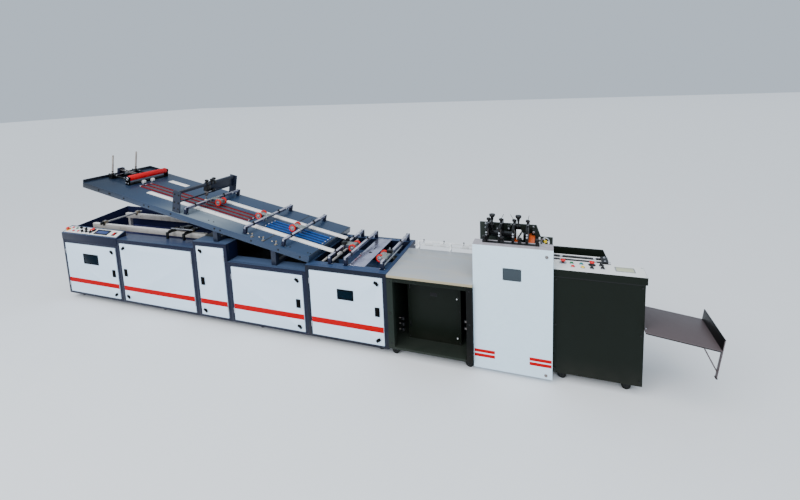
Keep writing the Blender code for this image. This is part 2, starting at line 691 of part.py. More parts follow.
def wheel_pair(number, bar, along, low_z, rise, wheel_ys, reach, parent):
    """Hang a pair of pressing wheels from a bar, on an arm that reaches left or right."""
    half = BAR_SIZE / 2
    axle_x = along + reach
    axle_z = low_z + STRIP_RISE + RUN + WHEEL_RADIUS
    inner = wheel_ys[0] + WHEEL_WIDTH + RUN
    outer = wheel_ys[1] - RUN
    ends = sorted((along, axle_x + math.copysign(half, reach)))
    fuse(bar, block("wheel_arm", (ends[0], inner, axle_z - half),
                    (ends[1], outer, low_z + rise - LAP), parent=parent))
    cut(bar, rod("axle_bore", (axle_x, inner - LAP, axle_z), (axle_x, outer + LAP, axle_z),
                 PIN_RADIUS + PIN_CLEAR, parent=parent))
    wheels = rod(f"wheel_pair_{number}", (axle_x, wheel_ys[0], axle_z),
                 (axle_x, wheel_ys[0] + WHEEL_WIDTH, axle_z), WHEEL_RADIUS, RED,
                 (axle_x, (wheel_ys[0] + wheel_ys[1] + WHEEL_WIDTH) / 2, axle_z), parent)
    other = rod("other_wheel", (axle_x, wheel_ys[1], axle_z),
                (axle_x, wheel_ys[1] + WHEEL_WIDTH, axle_z), WHEEL_RADIUS, parent=parent)
    axle = rod("wheel_axle", (axle_x, wheel_ys[0] + LAP, axle_z),
               (axle_x, wheel_ys[1] + WHEEL_WIDTH - LAP, axle_z), PIN_RADIUS, parent=parent)
    fuse(wheels, other, axle)


def deck_fittings():
    """Make what stands on the deck: bars with wheels, the gantry, the red roller, the guides."""
    for count, (along, side) in enumerate(zip(BAR_XS, ARM_SIDES)):
        bar = cross_bar(count + 1, along, SEAT, BAR_INSET, DECK_WIDTH - BAR_INSET, BAR_RISE, DECK)
        wheel_pair(count + 1, bar, along, SEAT, BAR_RISE, WHEEL_YS[count], side * WHEEL_ARM, DECK)
    low_y = GANTRY_INSET
    high_y = DECK_WIDTH - GANTRY_INSET
    half = GANTRY_LENGTH / 2
    beam = GANTRY_BEAM / 2
    gantry = block("gantry", (GANTRY_X - beam, low_y, GANTRY_HEIGHT - GANTRY_BEAM),
                   (GANTRY_X + beam, high_y, GANTRY_HEIGHT), NAVY, parent=DECK)
    sides = [block("gantry_side", (GANTRY_X - half, side_y, SEAT),
                   (GANTRY_X + half, side_y + GANTRY_PLATE, GANTRY_HEIGHT + LAP), parent=DECK)
             for side_y in (low_y - LAP, high_y + LAP - GANTRY_PLATE)]
    lower = block("lower_rail", (GANTRY_X - beam / 2, low_y, LOWER_RAIL_Z),
                  (GANTRY_X + beam / 2, high_y, LOWER_RAIL_Z + GANTRY_BEAM / 2), parent=DECK)
    screen = block("gantry_screen", (GANTRY_X - GANTRY_SCREEN / 2, (low_y + high_y) / 2,
                                     LOWER_RAIL_Z + LAP),
                   (GANTRY_X + GANTRY_SCREEN / 2, high_y - LAP, GANTRY_HEIGHT - LAP), parent=DECK)
    fuse(gantry, *sides, lower, screen)

    axle_z = SEAT + FEED_ROLLER_RISE + FEED_ROLLER_RADIUS
    near, far = FEED_ROLLER_Y
    roller = rod("feed_roller", (FEED_ROLLER_X, near, axle_z), (FEED_ROLLER_X, far, axle_z),
                 FEED_ROLLER_RADIUS, RED, parent=DECK, sides=FINE)
    reach = RUN + GUIDE_BLOCK / 3
    spindle = rod("spindle", (FEED_ROLLER_X, near - reach, axle_z),
                  (FEED_ROLLER_X, far + reach, axle_z), PIN_RADIUS, parent=DECK)
    fuse(roller, spindle)
    stand = block("feed_roller_stand", (FEED_ROLLER_X - GUIDE_BLOCK / 2, near - reach, SEAT),
                  (FEED_ROLLER_X + GUIDE_BLOCK / 2, near - RUN, axle_z + GUIDE_BLOCK / 3),
                  BLACK, parent=DECK)
    cheek = block("far_cheek", (FEED_ROLLER_X - GUIDE_BLOCK / 2, far + RUN, SEAT),
                  (FEED_ROLLER_X + GUIDE_BLOCK / 2, far + reach, axle_z + GUIDE_BLOCK / 3),
                  parent=DECK)
    tie = block("stand_tie", (FEED_ROLLER_X - GUIDE_BLOCK / 2, near - reach + LAP, SEAT),
                (FEED_ROLLER_X + GUIDE_BLOCK / 2, far + reach - LAP, SEAT + BELT_RISE),
                parent=DECK)
    journal = rod("journal", (FEED_ROLLER_X, near - 2 * reach, axle_z),
                  (FEED_ROLLER_X, far + 2 * reach, axle_z), PIN_RADIUS + PIN_CLEAR, parent=DECK)
    fuse(stand, cheek, tie)
    cut(stand, journal)

    low, high = GUIDE_YS
    guide = block("paper_guides", (GUIDE_X, low, SEAT),
                  (GUIDE_X + GUIDE_BLOCK, high + GUIDE_BLOCK, SEAT + GUIDE_BLOCK / 2), BLACK,
                  parent=DECK)
    rods = []
    for guide_y in (low, high):
        foot = (GUIDE_X + GUIDE_BLOCK / 2, guide_y + GUIDE_BLOCK / 2)
        rods.append(rod("guide_rod", (*foot, SEAT + GUIDE_BLOCK / 4), (*foot, GUIDE_ROD_HEIGHT),
                        GUIDE_ROD_RADIUS, parent=DECK, sides=COARSE))
        rods.append(block("guide_block", (GUIDE_X - LAP, guide_y, SEAT + GUIDE_BLOCK / 4),
                          (GUIDE_X + GUIDE_BLOCK + LAP, guide_y + GUIDE_BLOCK, GUIDE_BLOCK),
                          parent=DECK))
        rods.append(block("guide_arm", (GUIDE_X + GUIDE_BLOCK, foot[1] - GUIDE_ARM / 2,
                                        GUIDE_BLOCK - GUIDE_ARM - LAP),
                          (GUIDE_ARM_END, foot[1] + GUIDE_ARM / 2, GUIDE_BLOCK - LAP), parent=DECK))
    fuse(guide, *rods)


def trough_fittings():
    """Make the bars over the trough of bay 5 and the two cylinders in it."""
    back = FRAME_SET + FRAME_DEPTH + SEAT
    rear = LEFT_DEPTH - SHEET - SEAT
    low_z = BAY_TOPS[4] + SEAT
    rise = TROUGH_BAR_RISE + BAR_SIZE
    left, _, right = [cross_bar(len(BAR_XS) + count + 1, bar_x, low_z, back + BAR_POST,
                                rear - BAR_POST, rise, None)
                      for count, bar_x in enumerate(TROUGH_BAR_XS)]
    number = len(BAR_XS) + 1
    wheel_pair(number, left, TROUGH_BAR_XS[0], low_z, rise, TROUGH_WHEEL_YS[0], WHEEL_ARM, None)
    wheel_pair(number + 1, right, TROUGH_BAR_XS[-1], low_z, rise, TROUGH_WHEEL_YS[1], -SHORT_ARM,
               None)
    start, end = CYLINDER_X
    low_y, high_y = CYLINDER_YS
    axis_z = TROUGH_FLOOR + SEAT + CYLINDER_RADIUS
    cylinder = rod("trough_cylinders", (start, low_y, axis_z), (end, low_y, axis_z),
                   CYLINDER_RADIUS, GREEN)
    second = rod("second_cylinder", (start, high_y, axis_z), (end, high_y, axis_z),
                 CYLINDER_RADIUS)
    yoke = block("cylinder_yoke", (start + CYLINDER_RADIUS, low_y, TROUGH_FLOOR + SEAT),
                 (start + 2 * CYLINDER_RADIUS, high_y, TROUGH_FLOOR + CYLINDER_RADIUS / 2))
    fuse(cylinder, second, yoke)


def casters(xs, ys, plate_z):
    """Return the pieces of braked casters under a base: plate, fork and wheel."""
    pieces = []
    for caster_x in xs:
        for caster_y in ys:
            pieces.append(block("caster_fork", (caster_x - CASTER_RADIUS / 2,
                                                caster_y - CASTER_WIDTH, CASTER_RADIUS),
                                (caster_x + CASTER_RADIUS / 2, caster_y + CASTER_WIDTH,
                                 plate_z + LAP)))
            pieces.append(rod("caster_wheel", (caster_x, caster_y - CASTER_WIDTH / 2, CASTER_RADIUS),
                              (caster_x, caster_y + CASTER_WIDTH / 2, CASTER_RADIUS),
                              CASTER_RADIUS))
    return pieces


def feed_table():
    """Make the table top, its open cabinet, the inner box and the side rail."""
    right = TABLE_X + TABLE_LENGTH
    under = TABLE_TOP - TABLE_THICK - SEAT
    block("table_top", (TABLE_X, 0.0, TABLE_TOP - TABLE_THICK), (right, TABLE_DEPTH, TABLE_TOP),
          GREY_TOP)
    base_top = TABLE_BASE + PAN_THICK
    pan = block("table_cabinet", (TABLE_X, SEAT, TABLE_BASE), (right, TABLE_DEPTH, base_top), GREEN)
    xs = (TABLE_X + TABLE_CASTER_INSET, right - TABLE_CASTER_INSET)
    ys = (CASTER_INSET, TABLE_DEPTH - CASTER_INSET)
    low = base_top - LAP
    walls = [block("table_side", (side_x, SEAT, low), (side_x + SHEET, TABLE_DEPTH, under))
             for side_x in (TABLE_X, right - SHEET)]
    walls += [block("table_post", (post_x, 2 * SEAT, low), (post_x + TABLE_POST, TABLE_POST, under))
              for post_x in (TABLE_X + SEAT, right - TABLE_POST - SEAT)]
    walls.append(block("table_back", (TABLE_X + SEAT, TABLE_DEPTH - SHEET, low),
                       (right - SEAT, TABLE_DEPTH - SEAT, under)))
    fuse(pan, *walls, *casters(xs, ys, TABLE_BASE))
    block("inner_box", (TABLE_X + BOX_X[0], BOX_FRONT_Y, base_top + SEAT),
          (TABLE_X + BOX_X[1], TABLE_DEPTH - BOX_REAR_GAP, under), GREEN)
    rail = block("side_rail", (TABLE_X + CASTER_INSET, SIDE_RAIL_Y, SIDE_RAIL_Z),
                 (right, SIDE_RAIL_Y + SIDE_RAIL_SIZE, SIDE_RAIL_Z + SIDE_RAIL_SIZE), WHITE)
    brackets = []
    for share in (0.0, 0.5, 1.0):
        start = TABLE_X + CASTER_INSET + share * (TABLE_LENGTH - CASTER_INSET - SIDE_RAIL_SIZE)
        brackets.append(block("rail_bracket", (start, TABLE_DEPTH + SEAT, TABLE_TOP - TABLE_THICK),
                              (start + SIDE_RAIL_SIZE, SIDE_RAIL_Y + SIDE_RAIL_SIZE / 2,
                               TABLE_TOP)))
        brackets.append(block("rail_post", (start, SIDE_RAIL_Y - SIDE_RAIL_SIZE / 2,
                                            TABLE_TOP - TABLE_THICK),
                              (start + SIDE_RAIL_SIZE, SIDE_RAIL_Y + SIDE_RAIL_SIZE - LAP,
                               SIDE_RAIL_Z + SIDE_RAIL_SIZE / 2)))
    fuse(rail, *brackets)


def press_tower():
    """Make the white cover, the housing, the rear plate, the rollers and the screws."""
    right = TOWER_X + TOWER_LENGTH
    cover_back = COVER_FRONT_Y + COVER_DEPTH
    cover = block("tower_cover", (TOWER_X, COVER_FRONT_Y, COVER_BOTTOM),
                  (right, cover_back, COVER_TOP), WHITE)
    housing = block("tower_housing", (TOWER_X, cover_back + SEAT, TABLE_BASE),
                    (right, TOWER_DEPTH, TABLE_TOP), GREEN)
    ys = (cover_back + CASTER_INSET, TOWER_DEPTH - CASTER_INSET)
    fuse(housing, *casters((TOWER_X + CASTER_INSET, right - CASTER_INSET), ys, TABLE_BASE))
    plate_low = TABLE_TOP + SEAT
    plate_back = REAR_PLATE_Y + REAR_PLATE_THICK
    rear = as_mesh(outline("tower_rear_plate",
                           [(TOWER_X + SHEET, plate_low), (right - SHEET, plate_low),
                            (right - SHEET, SHOULDER_TOP), (TOWER_X + SHOULDER_X, SHOULDER_TOP),
                            (TOWER_X + REAR_PLATE_TOP_X, REAR_PLATE_TOP),
                            (TOWER_X + SHEET, REAR_PLATE_TOP)],
                           REAR_PLATE_THICK, REAR_PLATE_Y, "XZ", GREEN))
    bore = PIN_RADIUS + PIN_CLEAR
    for number, offset in enumerate(PRESS_XS):
        centre_x = TOWER_X + offset
        roller = rod(f"press_roller_{number + 1}", (centre_x, cover_back + RUN, PRESS_Z),
                     (centre_x, REAR_PLATE_Y - RUN, PRESS_Z), PRESS_RADIUS, ORANGE, sides=FINE)
        fuse(roller, rod("press_spindle", (centre_x, cover_back - RUN, PRESS_Z),
                         (centre_x, plate_back, PRESS_Z), PIN_RADIUS))
        cut(cover, rod("cover_bore", (centre_x, cover_back - 2 * RUN, PRESS_Z),
                       (centre_x, cover_back + LAP, PRESS_Z), bore))
        cut(rear, rod("plate_bore", (centre_x, REAR_PLATE_Y - LAP, PRESS_Z),
                      (centre_x, plate_back + LAP, PRESS_Z), bore))
    crank_x = TOWER_X + CRANK_X
    crank_back = REAR_PLATE_Y - RUN
    crank = rod("crank_wheel", (crank_x, crank_back - CRANK_THICK, CRANK_Z),
                (crank_x, crank_back, CRANK_Z), CRANK_RADIUS, STEEL, sides=FINE)
    knob_x = crank_x + CRANK_KNOB_X
    knob = rod("crank_knob", (knob_x, crank_back - CRANK_KNOB_REACH, CRANK_Z),
               (knob_x, crank_back - LAP, CRANK_Z), PIN_RADIUS)
    spindle = rod("crank_spindle", (crank_x, crank_back - LAP, CRANK_Z),
                  (crank_x, plate_back, CRANK_Z), PIN_RADIUS)
    fuse(crank, knob, spindle)
    cut(rear, rod("crank_bore", (crank_x, REAR_PLATE_Y - LAP, CRANK_Z),
                  (crank_x, plate_back + LAP, CRANK_Z), bore))


def screw_bridge():
    """Make the cheeks over the press rollers, their ties, screws with handles and knobs."""
    low_z = COVER_TOP + SEAT
    first, *others = [
        block("cheek" if count else "screw_bridge",
              (TOWER_X + cheek_x - CHEEK_THICK / 2, CHEEK_FRONT_Y, low_z),
              (TOWER_X + cheek_x + CHEEK_THICK / 2, REAR_PLATE_Y - SEAT, CHEEK_TOP), BLACK)
        for count, cheek_x in enumerate(CHEEK_XS)]
    tie_front = SCREW_Y - TIE_DEPTH / 2
    tie = block("cheek_tie", (TOWER_X + CHEEK_XS[0], tie_front, low_z + LAP),
                (TOWER_X + CHEEK_XS[-1], tie_front + TIE_DEPTH, low_z + TIE_HEIGHT))
    strip = block("knob_strip", (TOWER_X + FRONT_KNOB_XS[0] - KNOB_RADIUS, FRONT_KNOB_Y - KNOB_RADIUS,
                                 low_z),
                  (TOWER_X + FRONT_KNOB_XS[-1] + KNOB_RADIUS, CHEEK_FRONT_Y + LAP,
                   low_z + FOOT_STRIP))
    pieces = [tie, strip]
    for cheek_x in CHEEK_XS:
        knob_x = TOWER_X + cheek_x
        pieces.append(rod("rear_knob", (knob_x, SCREW_Y, CHEEK_TOP - LAP),
                          (knob_x, SCREW_Y, CHEEK_TOP + REAR_KNOB_HEIGHT), KNOB_RADIUS))
    for offset in FRONT_KNOB_XS:
        knob_x = TOWER_X + offset
        pieces.append(rod("front_knob", (knob_x, FRONT_KNOB_Y, low_z + LAP),
                          (knob_x, FRONT_KNOB_Y, low_z + FRONT_KNOB_HEIGHT), KNOB_RADIUS))
    for offset in SCREW_XS:
        screw_x = TOWER_X + offset
        pieces.append(rod("lift_screw", (screw_x, SCREW_Y, low_z + 2 * LAP),
                          (screw_x, SCREW_Y, SCREW_TOP - LAP), SCREW_RADIUS))
        pieces.append(rod("screw_handle", (screw_x, SCREW_Y, SCREW_TOP - HANDLE_HEIGHT),
                          (screw_x, SCREW_Y, SCREW_TOP), HANDLE_RADIUS))
    fuse(first, *others, *pieces)


def console():
    """Make the console cabinet, its panel, the guide bars and the back wall."""
    right = CONSOLE_X + CONSOLE_LENGTH
    rear = CABINET_FRONT_Y + CABINET_DEPTH
    body_right = right - LIP_OVERHANG
    body = block("console_cabinet", (CONSOLE_X, CABINET_FRONT_Y, TABLE_BASE),
                 (body_right, rear, CABINET_TOP), GREEN)
    ys = (CABINET_FRONT_Y + CASTER_INSET, rear - CASTER_INSET)
    panel_low = CABINET_TOP + SEAT
    panel_back = CABINET_FRONT_Y + PANEL_DEPTH
    head = block("console_head", (CONSOLE_X, CABINET_FRONT_Y - LIP_OVERHANG, CABINET_TOP - LAP),
                 (right, panel_back, LIP_TOP))
    wall_end = CONSOLE_X + BACK_LENGTH
    corner = block("cabinet_corner", (wall_end + BACK_SLOPE_RUN + LAP, panel_back, CABINET_STEP_TOP),
                   (right + LAP, rear + LAP, CABINET_TOP + LAP))
    cut(body, corner)
    fuse(body, head,
         *casters((CONSOLE_X + CASTER_INSET, right - CONSOLE_CASTER_INSET), ys, TABLE_BASE))
    block("console_panel", (CONSOLE_X + LAP, CABINET_FRONT_Y - LIP_OVERHANG + LAP, LIP_TOP + SEAT),
          (right - LAP, panel_back - LAP, LIP_TOP + SEAT + PANEL_THICK), WHITE)
    outline("console_back", [(CONSOLE_X, panel_low), (wall_end + BACK_SLOPE_RUN, panel_low),
                             (wall_end, BACK_TOP), (CONSOLE_X, BACK_TOP)],
            REAR_PLATE_THICK, BACK_Y, "XZ", GREEN)
    half = GUIDE_BAR_SIZE / 2
    first, middle, last = GUIDE_BAR_YS
    bars = [block("delivery_bars" if bar_y == middle else "delivery_bar",
                  (CONSOLE_X + LAP, bar_y - half, GUIDE_BAR_Z - GUIDE_BAR_SIZE),
                  (CONSOLE_X + GUIDE_BAR_LENGTH, bar_y + half, GUIDE_BAR_Z), STEEL)
            for bar_y in (middle, first, last)]
    ties = []
    for tie_x in (CONSOLE_X + TABLE_POST, CONSOLE_X + GUIDE_BAR_LENGTH - TABLE_POST):
        ties.append(block("bar_tie", (tie_x, first - half + LAP, panel_low),
                          (tie_x + SIDE_RAIL_SIZE, last + half - LAP,
                           GUIDE_BAR_Z - GUIDE_BAR_SIZE / 2)))
    fuse(*bars, *ties)


def tray():
    """Make the delivery tray with its end plate, and the leg that hangs from its corner."""
    low_y, high_y = TRAY_Y
    plate = block("delivery_tray", (0.0, low_y, -TRAY_THICK), (TRAY_LENGTH, high_y, 0.0), GREEN,
                  parent=TRAY)
    end = block("tray_end_plate", (TRAY_LENGTH - TRAY_THICK, low_y, -LAP),
                (TRAY_LENGTH, high_y, END_HEIGHT), parent=TRAY)
    leg = block("tray_leg", (TRAY_LENGTH - TRAY_THICK, low_y, -LEG_LENGTH),
                (TRAY_LENGTH, low_y + LEG_WIDTH, -LAP), parent=TRAY)
    middle = low_y + LEG_WIDTH / 2
    strut = rod("tray_strut", (TRAY_LENGTH - STRUT_REACH, middle, -TRAY_THICK / 2),
                (TRAY_LENGTH - TRAY_THICK / 2, middle, -STRUT_FOOT), STRUT_RADIUS, sides=COARSE,
                parent=TRAY)
    fuse(plate, end, leg, strut)


def main():
    """Build the whole line."""
    left_cabinets()
    console_box()
    cabinet_tops()
    feed_rails()
    deck()
    belts()
    deck_fittings()
    trough_fittings()
    feed_table()
    press_tower()
    screw_bridge()
    console()
    tray()


main()
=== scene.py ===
"""Looks of a paper pasting machine: finishes for its solids and the small pieces that show.

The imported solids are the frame. Places are given in metres from the machine's own corner, which is
the left end of the line at the door plane and the floor.
"""

import json
import logging
import math
from collections.abc import Iterable, Mapping, Sequence
from dataclasses import dataclass, field
from enum import Enum
from functools import cache
from itertools import product

import bmesh
import bpy
from mathutils import Matrix, Vector

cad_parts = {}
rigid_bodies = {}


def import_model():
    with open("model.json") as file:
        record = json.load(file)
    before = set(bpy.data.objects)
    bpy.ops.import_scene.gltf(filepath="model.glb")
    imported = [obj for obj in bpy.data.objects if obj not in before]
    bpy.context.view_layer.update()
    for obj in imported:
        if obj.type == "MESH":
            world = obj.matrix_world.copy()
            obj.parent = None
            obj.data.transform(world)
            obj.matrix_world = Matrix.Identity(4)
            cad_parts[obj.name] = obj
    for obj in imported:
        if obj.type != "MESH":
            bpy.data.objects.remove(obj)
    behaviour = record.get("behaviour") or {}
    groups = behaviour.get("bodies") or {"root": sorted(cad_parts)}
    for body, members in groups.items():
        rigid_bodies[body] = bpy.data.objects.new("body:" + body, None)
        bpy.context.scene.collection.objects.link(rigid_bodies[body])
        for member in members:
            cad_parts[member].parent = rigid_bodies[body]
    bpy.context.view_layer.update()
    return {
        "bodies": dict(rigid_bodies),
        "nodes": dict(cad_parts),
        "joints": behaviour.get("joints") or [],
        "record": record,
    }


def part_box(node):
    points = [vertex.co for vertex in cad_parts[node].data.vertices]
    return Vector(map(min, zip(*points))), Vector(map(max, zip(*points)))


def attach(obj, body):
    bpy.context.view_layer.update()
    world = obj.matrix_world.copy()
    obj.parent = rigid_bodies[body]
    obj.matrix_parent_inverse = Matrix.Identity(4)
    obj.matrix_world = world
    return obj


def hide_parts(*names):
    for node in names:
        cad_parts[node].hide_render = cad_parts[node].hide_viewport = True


LOG = logging.getLogger("pasting_machine")
LINE_BODY = "line"
Point = tuple[float, float, float]
RIGHT: Point = (1.0, 0.0, 0.0)
BACK: Point = (0.0, 1.0, 0.0)
FRONT: Point = (0.0, -1.0, 0.0)
UP: Point = (0.0, 0.0, 1.0)


def linear(hex_colour: str) -> tuple[float, float, float, float]:
    """Turn a screen colour into the linear colour that a shader socket takes.

    Args:
        hex_colour: Six hexadecimal digits, such as "3c4458".

    Returns:
        Red, green, blue and an alpha of 1.
    """
    parts = [int(hex_colour[place:place + 2], 16) / 255 for place in (0, 2, 4)]
    red, green, blue = (part / 12.92 if part <= 0.04045 else ((part + 0.055) / 1.055) ** 2.4
                        for part in parts)
    return red, green, blue, 1.0


# Shader maths


class Signal:
    """The value of a socket. Arithmetic on it adds Math nodes to its graph."""

    def __init__(self, graph: "Graph", socket: bpy.types.NodeSocket) -> None:
        """Hold a socket of a graph."""
        self.graph = graph
        self.socket = socket

    def _math(self, operation: str, *values: "Signal | float") -> "Signal":
        """Add one Math node and return its value."""
        return self.graph.node("ShaderNodeMath", {"operation": operation}, dict(enumerate(values)))

    def __add__(self, other: "Signal | float") -> "Signal":
        """Add."""
        return self._math("ADD", self, other)

    __radd__ = __add__

    def __sub__(self, other: "Signal | float") -> "Signal":
        """Subtract."""
        return self._math("SUBTRACT", self, other)

    def __rsub__(self, other: "Signal | float") -> "Signal":
        """Subtract this from the other."""
        return self._math("SUBTRACT", other, self)

    def __mul__(self, other: "Signal | float") -> "Signal":
        """Multiply."""
        return self._math("MULTIPLY", self, other)

    __rmul__ = __mul__

    def __truediv__(self, other: "Signal | float") -> "Signal":
        """Divide."""
        return self._math("DIVIDE", self, other)

    def __rtruediv__(self, other: "Signal | float") -> "Signal":
        """Divide the other by this."""
        return self._math("DIVIDE", other, self)

    def __gt__(self, other: "Signal | float") -> "Signal":
        """Return 1 where this is greater."""
        return self._math("GREATER_THAN", self, other)

    def __lt__(self, other: "Signal | float") -> "Signal":
        """Return 1 where this is less."""
        return self._math("LESS_THAN", self, other)

    def __abs__(self) -> "Signal":
        """Return the size without its sign."""
        return self._math("ABSOLUTE", self)

    def rise(self, low: float, high: float) -> "Signal":
        """Go smoothly from 0 at low to 1 at high."""
        return self.graph.node("ShaderNodeMapRange", {"interpolation_type": "SMOOTHSTEP"},
                               {"Value": self, "From Min": low, "From Max": high})

    def along(self, axis: Point) -> "Signal":
        """Measure a place along an axis, for a signal that is a vector."""
        return self.graph.node("ShaderNodeVectorMath", {"operation": "DOT_PRODUCT"},
                               {0: self, 1: axis}, "Value")


class Graph:
    """The node graph of one material, round a Principled shader."""

    def __init__(self, name: str) -> None:
        """Start a material.

        Args:
            name: Its name.
        """
        self.material = bpy.data.materials.new(name)
        self.material.use_nodes = True
        self.tree = self.material.node_tree
        self.shader = self.tree.nodes["Principled BSDF"]

    def node(self, kind: str, settings: Mapping[str, object] | None = None,
             inputs: Mapping[str | int, object] | None = None, output: str | int = 0) -> Signal:
        """Add any node.

        Args:
            kind: The node's type name.
            settings: Properties, set first.
            inputs: Values or signals for its sockets, by name or number.
            output: The socket to return, by name or number.

        Returns:
            The signal of that output.
        """
        made = self.tree.nodes.new(kind)
        for key, value in (settings or {}).items():
            setattr(made, key, value)
        for key, value in (inputs or {}).items():
            self._feed(made.inputs[key], value)
        return Signal(self, made.outputs[output])

    def _feed(self, socket: bpy.types.NodeSocket, value: object) -> None:
        """Link a signal to a socket, or set the socket's own value.

        Args:
            socket: The socket.
            value: A signal, or what the socket holds itself.
        """
        if isinstance(value, Signal):
            self.tree.links.new(value.socket, socket)
        else:
            socket.default_value = value

    def set(self, **values: object) -> None:
        """Feed the shader's sockets, named with underscores for spaces."""
        for name, value in values.items():
            self._feed(self.shader.inputs[name.replace("_", " ")], value)

    def place(self) -> Signal:
        """Return the place on the piece, in metres in the row frame."""
        return self.node("ShaderNodeTexCoord", output="Object")

    def noise(self, scale: float, detail: float = 2.0, stretch: Point = (1.0, 1.0, 1.0)) -> Signal:
        """Add cloudy noise.

        Args:
            scale: Clouds per metre.
            detail: How many finer layers it has.
            stretch: Factors for the three axes.

        Returns:
            A value from 0 to 1.
        """
        spot = self.node("ShaderNodeVectorMath", {"operation": "MULTIPLY"},
                         {0: self.place(), 1: stretch})
        return self.node("ShaderNodeTexNoise", {},
                         {"Vector": spot, "Scale": scale, "Detail": detail}, "Fac")

    def mix(self, share: "Signal | float", first: object, second: object) -> Signal:
        """Return first where share is 0 and second where it is 1, as colours."""
        return self.node("ShaderNodeMix", {"data_type": "RGBA"},
                         {0: share, 6: first, 7: second}, 2)

    def edges(self, radius: float) -> Signal:
        """Find the edges of the piece.

        Args:
            radius: How far the edge reaches, in metres.

        Returns:
            About 1 on sharp edges and 0 on flats.
        """
        soft = self.node("ShaderNodeBevel", {"samples": 4}, {"Radius": radius})
        true = self.node("ShaderNodeNewGeometry", output="Normal")
        facing = self.node("ShaderNodeVectorMath", {"operation": "DOT_PRODUCT"}, {0: soft, 1: true},
                           "Value")
        return (1.0 - facing).rise(0.02, 0.22)

    def upward(self) -> Signal:
        """Return 1 on faces that look up and 0 on upright ones."""
        facing = self.node("ShaderNodeNewGeometry", output="Normal")
        return facing.along(UP).rise(0.35, 0.85)

    def bump(self, height: Signal, strength: float, depth: float) -> Signal:
        """Return a normal that is bumped by a height of that depth in metres."""
        inputs = {"Strength": strength, "Distance": depth, "Height": height}
        return self.node("ShaderNodeBump", {}, inputs, "Normal")


# Finishes


@dataclass(frozen=True)
class Finish:
    """What every finish has: a name, and a material that is made once."""

    name: str

    def fill(self, graph: Graph) -> None:
        """Set up the shader."""
        raise NotImplementedError


@cache
def material_of(finish: Finish) -> bpy.types.Material:
    """Make a finish's material on first use.

    Args:
        finish: The finish.

    Returns:
        The one material of that finish.
    """
    graph = Graph(finish.name)
    finish.fill(graph)
    return graph.material


@dataclass(frozen=True)
class Paint(Finish):
    """Stoved paint on steel sheet, with cloudy tone, worn edges, dust low down, fine peel and a
    painted sheen on upward faces.
    """

    colour: str
    worn: str
    roughness: float = 0.38
    wear: float = 0.35
    cloud: float = 0.1
    dust: float = 0.16
    dirt: str = "5f5a52"
    dust_top: float = 0.3
    coat: float = 0.08
    shine: float = 0.3
    peel: float = 0.1
    top_sheen: str = "9aa3ae"
    top_sheen_share: float = 0.0

    def tone(self, graph: Graph) -> Signal:
        """Work out the paint's own colour with its clouds.

        Args:
            graph: The material's graph.

        Returns:
            The colour.
        """
        dark = tuple(part * (1.0 - self.cloud) for part in linear(self.colour)[:3]) + (1.0,)
        light = tuple(part * (1.0 + self.cloud) for part in linear(self.colour)[:3]) + (1.0,)
        return graph.mix(graph.noise(2.6, 3.0), dark, light)

    def top_sheen_colour(self, graph: Graph) -> Signal | tuple[float, ...]:
        """Return the painted sheen colour of upward faces."""
        return linear(self.top_sheen)

    def fill(self, graph: Graph) -> None:
        """Set up the shader.

        Args:
            graph: The material's graph.
        """
        peel = graph.noise(420.0, 1.0)
        rub = graph.noise(38.0, 4.0).rise(0.42, 0.66)
        edge = graph.edges(0.0022) * (rub * 0.8 + 0.2) * self.wear
        height = graph.place().along(UP)
        low = (1.0 - height.rise(0.02, self.dust_top)) * graph.noise(9.0, 4.0) * self.dust
        colour = graph.mix(edge, self.tone(graph), linear(self.worn))
        colour = graph.mix(low, colour, linear(self.dirt))
        # Painted sheen: upward faces are lightened towards the top sheen colour, as if lit from
        # above.
        if self.top_sheen_share:
            colour = graph.mix(graph.upward() * self.top_sheen_share, colour, self.top_sheen_colour(graph))
        graph.set(Base_Color=colour, Roughness=graph.noise(14.0, 3.0) * 0.12 + low * 0.4
                  + (self.roughness - 0.06), Coat_Weight=self.coat, Coat_Roughness=0.25,
                  Specular_IOR_Level=self.shine, Normal=graph.bump(peel, self.peel, 0.0004))


@dataclass(frozen=True)
class TwoTonePaint(Paint):
    """Paint that has a second colour above a height."""

    top_colour: str = "a29da3"
    top_from: float = 1.2

    def tone(self, graph: Graph) -> Signal:
        """Return the front colour, and the top colour on the top."""
        height = graph.place().along(UP)
        return graph.mix(height > self.top_from, super().tone(graph), linear(self.top_colour))


@dataclass(frozen=True)
class LedgePaint(Paint):
    """Paint with another colour beyond a place on one axis, as behind the ledge of a cover. On the
    slate cover and the grey-green bay that colour is near-black painted shade.
    """

    # Near-black by default: painted shade beyond the ledge.
    inner: str = "020203"
    inner_top_sheen: str = "030304"
    ledge: float = -0.33
    axis: Point = BACK

    def inside(self, graph: Graph) -> Signal:
        """Return one beyond the ledge and zero before it."""
        return graph.place().along(self.axis).rise(self.ledge - 0.003, self.ledge + 0.003)

    def tone(self, graph: Graph) -> Signal:
        """Return the paint's colour before and beyond the ledge."""
        return graph.mix(self.inside(graph), super().tone(graph), linear(self.inner))

    def top_sheen_colour(self, graph: Graph) -> Signal | tuple[float, ...]:
        """Return the painted sheen colour of upward faces before and beyond the ledge."""
        return graph.mix(self.inside(graph), linear(self.top_sheen), linear(self.inner_top_sheen))


